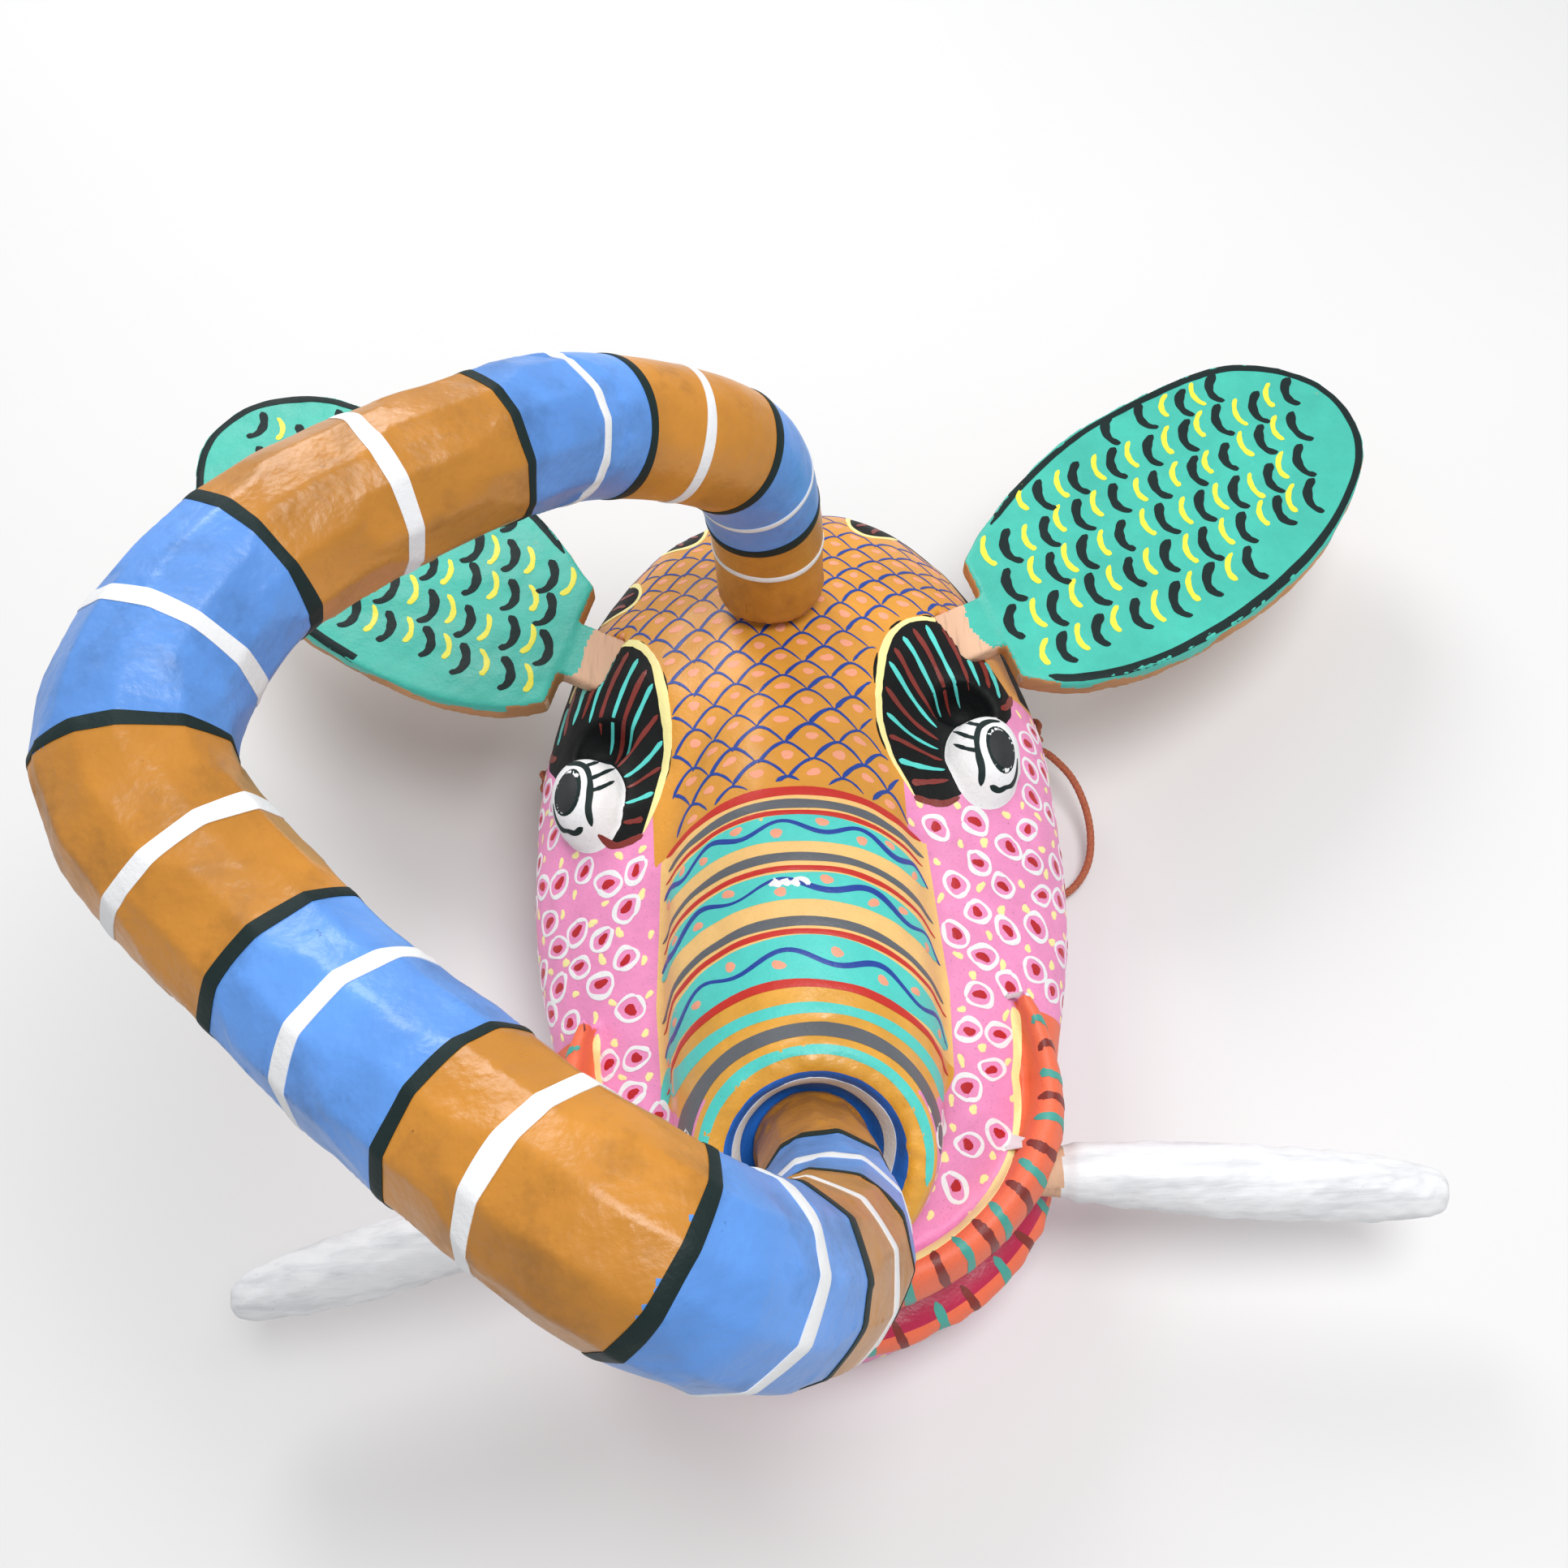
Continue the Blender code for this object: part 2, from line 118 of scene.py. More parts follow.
class Nodes:
    """A short way to build a shader tree."""

    def __init__(self, name):
        self.material = bpy.data.materials.new(name)
        self.material.use_nodes = True
        self.tree = self.material.node_tree
        self.shader = self.tree.nodes["Principled BSDF"]
        self.spot = self.add("ShaderNodeTexCoord").outputs["Object"]

    def add(self, kind, inputs=(), **settings):
        node = self.tree.nodes.new(kind)
        for name, value in settings.items():
            setattr(node, name, value)
        for name, value in dict(inputs).items():
            self.set(node.inputs[name], value)
        return node

    def set(self, socket, value):
        if isinstance(value, bpy.types.NodeSocket):
            self.tree.links.new(value, socket)
        else:
            socket.default_value = value

    def noise(self, scale, detail=3.0, roughness=0.55, stretch=(1, 1, 1), spot=None):
        moved = self.add("ShaderNodeMapping", {"Vector": spot or self.spot, "Scale": stretch})
        return self.add("ShaderNodeTexNoise", {"Vector": moved.outputs[0], "Scale": scale, "Detail": detail,
                                               "Roughness": roughness}).outputs["Fac"]

    def between(self, value, low, high, to_low=0.0, to_high=1.0):
        return self.add("ShaderNodeMapRange", {"Value": value, "From Min": low, "From Max": high,
                                               "To Min": to_low, "To Max": to_high}).outputs[0]

    def mix(self, share, first, second):
        node = self.add("ShaderNodeMix", data_type="RGBA")
        for socket, value in zip((node.inputs[0], node.inputs[6], node.inputs[7]), (share, first, second)):
            self.set(socket, (*value, 1.0) if isinstance(value, tuple) and len(value) == 3 else value)
        return node.outputs[2]

    def bump(self, height, distance, under=None):
        node = self.add("ShaderNodeBump", {"Height": height, "Distance": distance, "Strength": 1.0})
        if under is not None:
            self.set(node.inputs["Normal"], under)
        return node.outputs[0]


def shade(colour, share):
    """The colour made darker, or lighter where share is over 1."""
    return tuple(min(1.0, c * share) for c in colour)


def paint(name, roughness, mottle, specks=0.0, streak=(1, 1, 1), worn=0.0, coat=0.0):
    """Brushed matt acrylic: uneven coverage, fine dark pits, and brush ridges along one direction."""
    made = Nodes(f"paint_{name}")
    base, grain = COLOURS[name], 0.00012
    patches = made.noise(38, 4, 0.6)
    brushed = made.noise(260, 3, 0.6, streak)
    thin, thick = shade(base, 1 - mottle), shade(base, 1 + mottle * 0.55)
    colour = made.mix(made.between(patches, 0.32, 0.70), thin, thick)
    colour = made.mix(made.between(brushed, 0.35, 0.75, 0.0, 0.28), colour, shade(base, 1 - 1.6 * mottle))
    if specks:
        pits = made.noise(1100, 3, 0.7)
        colour = made.mix(made.between(pits, 0.60, 0.72, 0.0, specks), colour, shade(base, 0.42))
    if worn:
        bare = made.noise(70, 6, 0.75)
        colour = made.mix(made.between(bare, 0.66, 0.70, 0.0, worn), colour, BARE_WOOD)
    made.set(made.shader.inputs["Base Color"], colour)
    gloss = made.between(patches, 0.3, 0.7, roughness - 0.06, roughness + 0.08)
    made.set(made.shader.inputs["Roughness"], gloss)
    made.shader.inputs["Coat Weight"].default_value = coat
    made.shader.inputs["Coat Roughness"].default_value = 0.22
    made.shader.inputs["Specular IOR Level"].default_value = 0.18 if max(base) < 0.05 else 0.45
    fine = made.bump(made.noise(900, 3, 0.65), grain)
    made.set(made.shader.inputs["Normal"], made.bump(brushed, grain * 2.2, fine))
    return made.material


def wood(name, colour, along=(1, 0.08, 1)):
    """Bare soft wood with a fine straight grain and darker fibres."""
    made = Nodes(f"wood_{name}")
    fibres = made.noise(420, 5, 0.65, along)
    rings = made.noise(60, 3, 0.5, along)
    tone = made.mix(made.between(rings, 0.35, 0.7), shade(colour, 0.78), shade(colour, 1.14))
    tone = made.mix(made.between(fibres, 0.52, 0.72, 0.0, 0.55), tone, shade(colour, 0.45))
    made.set(made.shader.inputs["Base Color"], tone)
    made.shader.inputs["Roughness"].default_value = 0.68
    chisel = made.bump(made.noise(120, 2, 0.4, along), 0.0008)
    made.set(made.shader.inputs["Normal"], made.bump(fibres, 0.0003, chisel))
    return made.material


def used_paint(name):
    """A paint that something made earlier already carries."""
    return bpy.data.materials[f"paint_{name}"]


def bare_wood():
    """The head's bare wood, which its pegs and tenons share."""
    return bpy.data.materials["wood_carved_inside"]


def trunk_paint(name, roughness):
    """The trunk's smoother paint, smudged brown and rubbed in places, with thin cracks along the wood."""
    made = Nodes(f"paint_{name}")
    base = COLOURS[name]
    patches = made.noise(22, 4, 0.55)
    colour = made.mix(made.between(patches, 0.35, 0.7), shade(base, 0.80), shade(base, 1.16))
    smudge = made.noise(48, 5, 0.68)
    colour = made.mix(made.between(smudge, 0.53, 0.74, 0.0, 0.50), colour, shade(base, 0.36))
    crack = made.noise(300, 4, 0.7, (1, 1, 0.22))
    colour = made.mix(made.between(crack, 0.70, 0.74, 0.0, 0.55), colour, shade(base, 0.22))
    made.set(made.shader.inputs["Base Color"], colour)
    made.set(made.shader.inputs["Roughness"], made.between(smudge, 0.3, 0.75, roughness, roughness + 0.16))
    fine = made.bump(made.noise(700, 3, 0.6), 0.00010)
    made.set(made.shader.inputs["Normal"], made.bump(made.noise(90, 3, 0.55), 0.0009, fine))
    return made.material


# ---------------------------------------------------------------- fine meshes

def new_object(name, vertices, faces, materials=()):
    mesh = bpy.data.meshes.new(name)
    mesh.from_pydata([tuple(v) for v in vertices], [], faces)
    mesh.update()
    made = bpy.data.objects.new(name, mesh)
    bpy.context.scene.collection.objects.link(made)
    for surface in materials:
        mesh.materials.append(surface)
    return made


def fine_copy(node, name, voxel):
    """The CAD node's shape as a new object of small even faces."""
    made = bpy.data.objects.new(name, frame["nodes"][node].data.copy())
    bpy.context.scene.collection.objects.link(made)
    made.data.materials.clear()
    step = made.modifiers.new("remesh", "REMESH")
    step.mode = "VOXEL"
    step.voxel_size = voxel
    evaluated = made.evaluated_get(bpy.context.evaluated_depsgraph_get())
    fine = bpy.data.meshes.new_from_object(evaluated)
    coarse = made.data
    made.modifiers.clear()
    made.data = fine
    bpy.data.meshes.remove(coarse)
    fine.name = name
    fine.shade_smooth()
    return made


def read(collection, attribute, width, kind=np.float32):
    """One attribute of every vertex, edge or face of a mesh, in rows of so many numbers."""
    flat = np.zeros(len(collection) * width, kind)
    collection.foreach_get(attribute, flat)
    return flat.reshape(-1, width)


def get_points(made):
    """The mesh's points, in metres."""
    return read(made.data.vertices, "co", 3).astype(float)


def get_normals(made):
    return read(made.data.vertices, "normal", 3).astype(float)


def set_points(made, points):
    made.data.vertices.foreach_set("co", points.astype(np.float32).ravel())
    made.data.update()


def edge_ends(made):
    """The two vertices of each edge."""
    return read(made.data.edges, "vertices", 2, np.int32)


def smooth(made, rounds, keep=None):
    """Move each point towards its neighbours' average, and none where keep is 1."""
    points, ends = get_points(made), edge_ends(made)
    count = np.bincount(ends.ravel(), minlength=len(points))[:, None]
    pull = 0.5 if keep is None else 0.5 * (1 - keep)[:, None]
    for _ in range(rounds):
        total = np.zeros_like(points)
        for axis in range(3):
            total[:, axis] = (np.bincount(ends[:, 0], points[ends[:, 1], axis], len(points))
                              + np.bincount(ends[:, 1], points[ends[:, 0], axis], len(points)))
        points = points + pull * (total / count - points)
    set_points(made, points)


def sharpness(made, low, high, spread):
    """Near 1 on carved edges and near 0 on gently curved wood, spread a few faces wide."""
    normals, ends = get_normals(made), edge_ends(made)
    turn = np.degrees(np.arccos(np.clip((normals[ends[:, 0]] * normals[ends[:, 1]]).sum(1), -1, 1)))
    worst = np.zeros(len(normals))
    np.maximum.at(worst, ends[:, 0], turn)
    np.maximum.at(worst, ends[:, 1], turn)
    for _ in range(spread):
        wider = worst.copy()
        np.maximum.at(wider, ends[:, 0], worst[ends[:, 1]])
        np.maximum.at(wider, ends[:, 1], worst[ends[:, 0]])
        worst = wider
    return np.clip((worst - low) / (high - low), 0, 1)


class Waves:
    """Smooth seeded unevenness, from a sum of sine waves, as a function of points in metres."""

    def __init__(self, seed, size, count=14):
        source = np.random.default_rng(seed)
        turn = source.normal(size=(count, 3))
        self.turn = turn / np.linalg.norm(turn, axis=1)[:, None] * source.uniform(0.6, 1.5, (count, 1)) / size
        self.start = source.uniform(0, 2 * math.pi, count)

    def at(self, points):
        return np.sin(points @ self.turn.T * 2 * math.pi + self.start).sum(1) / math.sqrt(len(self.start))


def face_middles(made):
    """Each face's middle in the head's frame, and its normal."""
    faces = made.data.polygons
    return (read(faces, "center", 3) - np.array(ORIGIN)) / MM, read(faces, "normal", 3)


def face_slots(made):
    """Which of the mesh's materials each face has."""
    return read(made.data.polygons, "material_index", 1, np.int32).ravel()


def paint_faces(made, choose, surfaces):
    """Give each face the surface that choose names for its middle and normal."""
    for surface in surfaces.values():
        made.data.materials.append(surface)
    middle, normal = face_middles(made)
    picked = choose(middle, normal, {name: k for k, name in enumerate(surfaces)})
    made.data.polygons.foreach_set("material_index", picked.astype(np.int32))
    made.data.update()


def cut_along(made, fields):
    """Split the faces that a field's zero line crosses, so that paint changes there along a clean line."""
    shape = bmesh.new()
    shape.from_mesh(made.data)
    for field in fields:
        shape.verts.index_update()
        points = (np.array([v.co[:] for v in shape.verts]) - np.array(ORIGIN)) / MM
        value = field(points)
        crossed = [e for e in shape.edges if value[e.verts[0].index] * value[e.verts[1].index] < 0]
        fresh = set()
        for edge in crossed:
            first, last = edge.verts
            share = value[first.index] / (value[first.index] - value[last.index])
            fresh.add(bmesh.utils.edge_split(edge, first, min(0.92, max(0.08, share)))[1])
        shape.faces.index_update()
        beside = {face for vertex in fresh for face in vertex.link_faces}
        for face in sorted(beside, key=lambda one: one.index):
            ends = [v for v in face.verts if v in fresh]
            if len(ends) == 2:
                bmesh.utils.face_split(face, ends[0], ends[1])
    shape.to_mesh(made.data)
    shape.free()
    made.data.shade_smooth()


def tree_of(made):
    """The mesh as a tree that rays and nearest points are found on."""
    return BVHTree.FromPolygons([v.co.copy() for v in made.data.vertices],
                                [tuple(p.vertices) for p in made.data.polygons])


# ---------------------------------------------------------------- strokes of paint

def end_shape(share, first, last):
    """How wide a brush stroke is along its length, rounded over its first and last shares."""
    width = 1.0
    if first and share < first:
        width *= math.sqrt(max(0.0, 1 - (1 - share / first) ** 2))
    if last and share > 1 - last:
        width *= math.sqrt(max(0.0, 1 - (1 - (1 - share) / last) ** 2))
    return max(width, 0.22)


class Marks:
    """All the strokes of one colour on one piece, as thin closed bodies in one object."""

    def __init__(self, name, body, slot, lift, sink=0.5):
        self.name, self.body, self.slot = name, body, slot
        self.lift, self.sink = lift * MM, sink * MM
        self.vertices, self.faces = [], []

    def stroke(self, path, width, spot, first=0.12, last=0.12, closed=False, wobble=0.10, across=2):
        """Lay a stroke along path, in the two coordinates that spot turns into a place and a normal.

        The width is a number, or a function of the share of the length.  The stroke rounds off over its first
        and last shares, its width wanders by wobble, and across is how many faces wide it is.
        """
        path = [Vector(p) for p in path]
        if len(path) < 3:
            return
        count, rows = len(path), []
        phase = DRAW.uniform(0, 6.28)
        for k, middle in enumerate(path):
            before = path[k - 1] if k else 2 * middle - path[1]
            after = path[k + 1] if k < count - 1 else 2 * middle - path[k - 1]
            if (after - before).length == 0:
                continue
            aside = Vector((before.y - after.y, after.x - before.x)).normalized()
            share = k / count if closed else k / (count - 1)
            wide = width(share) if callable(width) else width
            sway = 4 * math.pi * share
            wide *= 1 + wobble * (math.sin(phase + sway) + 0.6 * math.sin(2 * phase + 2 * sway))
            if not closed:
                wide *= end_shape(share, first, last)
            row = [spot(*(middle + aside * wide * (j / across - 0.5))) for j in range(across + 1)]
            if any(found[0] is None for found in row):
                if closed:
                    continue
                if len(rows) > 2:
                    break
                rows = []
                continue
            rows.append(row)
        if len(rows) > 2:
            self.strip(rows, closed)

    def strip(self, rows, closed):
        """One closed body over and under the rows of places and normals."""
        across, start = len(rows[0]), len(self.vertices)
        for row in rows:
            for j, (where, normal) in enumerate(row):
                crown = 1 - 0.35 * (2 * j / (across - 1) - 1) ** 2
                self.vertices.append(where + normal * self.lift * crown)
            for where, normal in row:
                self.vertices.append(where - normal * self.sink)
        size = 2 * across

        def top(r, j):
            return start + (r % len(rows)) * size + j

        def low(r, j):
            return top(r, j) + across

        for r in range(len(rows) if closed else len(rows) - 1):
            for j in range(across - 1):
                self.faces.append((top(r, j), top(r, j + 1), top(r + 1, j + 1), top(r + 1, j)))
                self.faces.append((low(r, j), low(r + 1, j), low(r + 1, j + 1), low(r, j + 1)))
            self.faces.append((top(r, 0), top(r + 1, 0), low(r + 1, 0), low(r, 0)))
            last = across - 1
            self.faces.append((top(r, last), low(r, last), low(r + 1, last), top(r + 1, last)))
        if not closed:
            for r in (0, len(rows) - 1):
                ends = [(top(r, j), low(r, j), low(r, j + 1), top(r, j + 1)) for j in range(across - 1)]
                self.faces += ends if r == 0 else [face[::-1] for face in ends]

    def dot(self, middle, radii, spot, turn=0.0, sides=11, ragged=0.14):
        """A dab of paint: an uneven oval, highest in its middle."""
        centre = spot(*middle)
        if centre[0] is None:
            return
        phase, rings = DRAW.uniform(0, 6.28), []
        for share in (0.6, 1.0):
            ring = []
            for k in range(sides):
                a = 2 * math.pi * k / sides
                r = share * (1 + ragged * math.sin(2 * a + phase) + 0.6 * ragged * math.sin(3 * a - phase))
                x, y = radii[0] * r * math.cos(a), radii[1] * r * math.sin(a)
                ring.append(spot(middle[0] + x * math.cos(turn) - y * math.sin(turn),
                                 middle[1] + x * math.sin(turn) + y * math.cos(turn)))
            rings.append(ring)
        if any(found[0] is None for ring in rings for found in ring):
            return
        start = len(self.vertices)
        self.vertices.append(centre[0] + centre[1] * self.lift)
        for ring, height in zip(rings, (0.9, 0.45)):
            self.vertices += [where + normal * self.lift * height for where, normal in ring]
        self.vertices += [where - normal * self.sink for where, normal in rings[1]]
        self.vertices.append(centre[0] - centre[1] * self.sink)
        inner, outer, under, bottom = (start + 1 + k * sides for k in range(4))
        for k in range(sides):
            n = (k + 1) % sides
            self.faces += [(start, inner + k, inner + n), (inner + k, outer + k, outer + n, inner + n),
                           (outer + k, under + k, under + n, outer + n), (bottom, under + n, under + k)]

    def finish(self, surface):
        """Make the strokes one object with this surface, riding on the marks' body."""
        if not self.faces:
            return
        made = new_object(self.name, self.vertices, self.faces, [surface])
        face_out(made)
        made.data.shade_smooth()
        made.data.set_sharp_from_angle(angle=math.radians(50))
        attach(made, self.body)


def face_out(made):
    """Turn every face of a closed mesh outwards."""
    shape = bmesh.new()
    shape.from_mesh(made.data)
    bmesh.ops.recalc_face_normals(shape, faces=shape.faces)
    shape.to_mesh(made.data)
    shape.free()


def arc(middle, radius_x, radius_y, first, last, count, tilt=0.0):
    """Points on an elliptical arc between two angles in degrees."""
    points = []
    for k in range(count):
        a = math.radians(first + (last - first) * k / (count - 1))
        x, y = radius_x * math.cos(a), radius_y * math.sin(a)
        points.append((middle[0] + x * math.cos(tilt) - y * math.sin(tilt),
                       middle[1] + x * math.sin(tilt) + y * math.cos(tilt)))
    return points


def line(first, last, count, sag=0.0):
    """Points from first to last, pushed sideways in the middle by sag."""
    first, last = Vector(first), Vector(last)
    aside = Vector((first.y - last.y, last.x - first.x)).normalized()
    return [first.lerp(last, k / (count - 1)) + aside * sag * math.sin(math.pi * k / (count - 1))
            for k in range(count)]


def smooth_path(points, steps):
    """Plane points on a smooth curve through a few."""
    return [Vector((p.x, p.y)) for p in curve_through([(p[0], p[1], 0) for p in points], steps)]


def tapered(first, last):
    """A stroke's width that changes evenly from its start to its end."""
    return lambda s: first + (last - first) * s


def swelling(width, ends, middle, start=0.0, stop=1.0):
    """A stroke's width that is a share of width at the ends and more in the middle."""
    return lambda s: width * (ends + middle * math.sin(math.pi * (start + (stop - start) * s)))


def jitter(size):
    """A random shift either way."""
    return DRAW.uniform(-size, size)


# ---------------------------------------------------------------- head

SOCKET = Vector((2, -143, 99))
SOCKET_AXIS = Vector(next(j["axis"] for j in frame["joints"] if j["child"] == "trunk")).normalized()
SOCKET_ACROSS = Vector((1, 0, 0)) - SOCKET_AXIS * SOCKET_AXIS.x
SOCKET_ACROSS.normalize()
SOCKET_UP = SOCKET_AXIS.cross(SOCKET_ACROSS)
SOCKET_RIM = 26
SOCKET_WALL = 23            # how far from its axis the white ring lies in the socket
BROW = -30.5                # where the snout's first red line crosses the middle
BROW_SAG = 9.0              # how much nearer the chin that line is at the snout's sides
SNOUT_HALF = 42
SNOUT_TURN = 45             # the radius by which distances round the snout turn into angles
EYES = {"right": Vector((64.5, -8, 84)), "left": Vector((-67.5, -13, 84))}
EYE_RADII = Vector((13, 17.5, 13))
EYE_TURN = math.radians(-14)
MOUTH_Y = -110
UPPER_LIP = (74, 63)        # the half width and half length of each lip's oval
LOWER_LIP = (77, 70)
LIP_TURN = 68
CROWN_MIDDLE = (0, 40, 35)
CROWN_BALL = 92
TUSK_HOLE, TUSK_WAY = (75, -137, 52), (188, -154, 45)
HOLLOW = {"y": (-144, -130, -110, -85, -45, 0, 45, 80, 100, 108),
          "half": (24, 42, 54, 64, 74, 75, 68, 54, 36, 16),
          "crest": (22, 32, 44, 62, 76, 84, 79, 67, 52, 34),
          "widest": (12, 18, 24, 28, 32, 34, 34, 32, 26, 20)}
# The black patch round an eye: its yellow inner edge from outer top to inner bottom, then its lower edge.
PATCH_EDGE = ((72, 35), (66, 46), (57, 51), (48, 50), (41, 45), (35.5, 35), (32, 18), (31, 2), (34, -12),
              (40, -24))
PATCH_UNDER = ((50, -25), (56, -22), (66, -6), (77, 14), (78, 24))


def patch_place(x, y, hand):
    """Where a point of the right patch's plan lies on either side; the left patch is longer, further out."""
    if hand == "right":
        return Vector((x, y))
    return Vector((-x - 8.5, 52 - (50 - y) * 1.09))


def patch_outline(hand):
    ring = smooth_path(PATCH_EDGE, 4) + [Vector(p) for p in PATCH_UNDER]
    return [patch_place(p.x, p.y, hand) for p in ring]


def inside_outline(x, y, outline):
    """How far inside a closed outline each point is, and negative outside it."""
    inside, away = np.zeros(len(x), bool), np.full(len(x), 1e9)
    for a, b in zip(outline, outline[1:] + outline[:1]):
        rise = b.y - a.y if b.y != a.y else 1e-9
        inside ^= ((a.y > y) != (b.y > y)) & (x < (b.x - a.x) * (y - a.y) / rise + a.x)
        run = (b - a).length_squared or 1e-9
        share = np.clip(((x - a.x) * (b.x - a.x) + (y - a.y) * (b.y - a.y)) / run, 0, 1)
        away = np.minimum(away, np.hypot(x - a.x - share * (b.x - a.x), y - a.y - share * (b.y - a.y)))
    return np.where(inside, away, -away)


def brow_line(x):
    """Where along the head the forehead's paint ends and the snout's begins."""
    return BROW - BROW_SAG * (x / SNOUT_HALF) ** 2


def snout_half_width(y):
    """Half the width of the snout's painted ridge, from the chin to the brow."""
    return np.interp(y, (-125, -112, -85, -30), (38, 45, 46, 42))


def from_socket(points):
    """Each point's distance from the socket's axis, and its height above the socket's rim."""
    away = points - np.array(SOCKET)
    height = away @ np.array(SOCKET_AXIS)
    return np.linalg.norm(away - height[:, None] * np.array(SOCKET_AXIS), axis=1), height


def both(*fields):
    """Inside every one of the fields."""
    return np.minimum.reduce(fields)


def either(*fields):
    """Inside any of the fields."""
    return np.maximum.reduce(fields)


LOBE_TURN, LOBE_PERIOD, LOBE_HALF = 0, 28, 7.5      # the crown's scallops, in degrees round it
LOBE_FIRST, LOBE_LAST = -66, 42
CROWN_EDGE, CROWN_RISE = 21, 13                     # the black border's height angle, and a scallop's


def lobe(turn):
    """How high the crown's black scallops stand, as a share, at compass angles from the crown in degrees."""
    off = (turn - LOBE_TURN + LOBE_PERIOD / 2) % LOBE_PERIOD - LOBE_PERIOD / 2
    return np.sqrt(np.maximum(0, 1 - (off / LOBE_HALF) ** 2)) * (turn > LOBE_FIRST) * (turn < LOBE_LAST)


def crown_angles(x, y, z):
    """The compass angle and the height angle of a point from the crown's middle, in degrees."""
    ahead, up = y - CROWN_MIDDLE[1], z - CROWN_MIDDLE[2]
    return np.degrees(np.arctan2(x, ahead)), np.degrees(np.arctan2(up, np.hypot(x, ahead)))


# Each field is positive, and about millimetres deep, inside its own paint.

def amber_field(points):
    x, y, _ = points.T
    inner = np.where(x > 0, 37, 45)
    return both(y - brow_line(x), either(inner - np.abs(x), y - 24))


def crown_field(points):
    x, y, z = points.T
    turn, rise = crown_angles(x, y, z)
    return both(CROWN_EDGE + CROWN_RISE * lobe(turn) - rise, 100 - np.abs(turn), y - 26)


def patch_field(hand):
    outline = patch_outline(hand)

    def field(points):
        x, y, z = points.T
        return both(inside_outline(x, y, outline), z - 52)
    return field


def snout_field(points):
    x, y, z = points.T
    radius, _ = from_socket(points)
    ridge = both(brow_line(x) - y, snout_half_width(y) - np.abs(x), y + 126, z - 60)
    return either(ridge, both(35 - radius, z - 70))


def gold_field(points):
    x, y, _ = points.T
    return both(snout_field(points), -97 - 11 * (x / SNOUT_HALF) ** 2 - y)


def socket_field(points):
    radius, height = from_socket(points)
    return both(SOCKET_RIM + 0.4 - radius, 0.9 - height, height + 14.5)


def lip_edge(turn):
    """Where the coral starts, as a share of the mouth's oval, by the angle from the mouth's side."""
    return 0.88 + 0.09 * np.clip(turn / 1.3, 0, 1) + 0.23 * np.maximum(0, -turn)


def upper_lip_field(points):
    x, y, z = points.T
    radius, _ = from_socket(points)
    half_wide, half_long = UPPER_LIP
    turn = np.arctan2((MOUTH_Y - y) / half_long, np.abs(x) / half_wide)
    oval = np.hypot(x / half_wide, (y - MOUTH_Y) / half_long)
    return both((oval - lip_edge(turn)) * 65, -88 - y, z - 26, 83 - z, radius - 35)


def mouth_field(points):
    x, y, z = points.T
    oval = np.hypot(x / LOWER_LIP[0], (y - MOUTH_Y) / LOWER_LIP[1])
    return both((1.045 - oval) * 73, (oval - 0.80) * 73, 49.5 - z, z - 36, -97 - y)


def eye_field(hand):
    turn = SIDE[hand] * EYE_TURN

    def field(points):
        away = points - np.array(EYES[hand])
        x = away[:, 0] * math.cos(turn) + away[:, 1] * math.sin(turn)
        y = away[:, 1] * math.cos(turn) - away[:, 0] * math.sin(turn)
        reach = np.sqrt((x / EYE_RADII.x) ** 2 + (y / EYE_RADII.y) ** 2 + (away[:, 2] / EYE_RADII.z) ** 2)
        return both((1.05 - reach) * 14, points[:, 2] - 66)
    return field


def hollow_field(points):
    x, y, z = points.T
    half = np.interp(y, HOLLOW["y"], HOLLOW["half"])
    crest = np.interp(y, HOLLOW["y"], HOLLOW["crest"])
    widest = np.interp(y, HOLLOW["y"], HOLLOW["widest"])
    rise = np.maximum(0, z - widest) / (crest - widest)
    inside = both((1 - np.hypot(x / (half + 2.2), rise / 1.05)) * 60, y + 146, 110 - y)
    radius, height = from_socket(points)
    return either(inside, 0.7 - z, both(13 - radius, -12.6 - height))


def chip_field(hand):
    """Torn bare wood round the tusk's hole."""
    mirror = Vector((SIDE[hand], 1, 1))
    root = Vector(TUSK_HOLE) * mirror
    axis = (Vector(TUSK_WAY) * mirror - root).normalized()
    waves = Waves(51, 0.006)

    def field(points):
        away = points - np.array(root)
        along = away @ np.array(axis)
        radius = np.linalg.norm(away - along[:, None] * np.array(axis), axis=1)
        return both(10.2 + 1.3 * waves.at(points * MM) - radius, along + 12, 20 - along)
    return field


HEAD_FIELDS = (
    ("amber", amber_field), ("black", crown_field), ("black", patch_field("right")),
    ("black", patch_field("left")), ("light_amber", snout_field), ("gold", gold_field),
    ("socket_blue", socket_field), ("coral", upper_lip_field), ("crimson", mouth_field),
    ("white", eye_field("right")), ("white", eye_field("left")), ("bare", chip_field("right")),
    ("bare", chip_field("left")), ("bare", hollow_field),
)


def head_regions(middle, _normal, code):
    """Which paint each face of the head carries: the last field that it is inside, or else pink."""
    picked = np.full(len(middle), code["pink"])
    for name, field in HEAD_FIELDS:
        picked[field(middle) > 0] = code[name]
    return picked


def head_cast(start, direction):
    """The head's surface along a ray: the place and its normal, or two Nones."""
    return HEAD_TREE.ray_cast(start, direction)[:2]


def dome_spot(along, across):
    """A place on the head by millimetres from chin to crown and millimetres round from its ridge."""
    turn = across / 68
    over = max(0.0, along - 60) / 66 + min(0.0, along + 120) / 62
    out = Vector((math.sin(turn), math.cos(turn) * math.sin(over), math.cos(turn) * math.cos(over)))
    return head_cast(place(0, min(60, max(-120, along)), 36) + out * 0.2, -out)


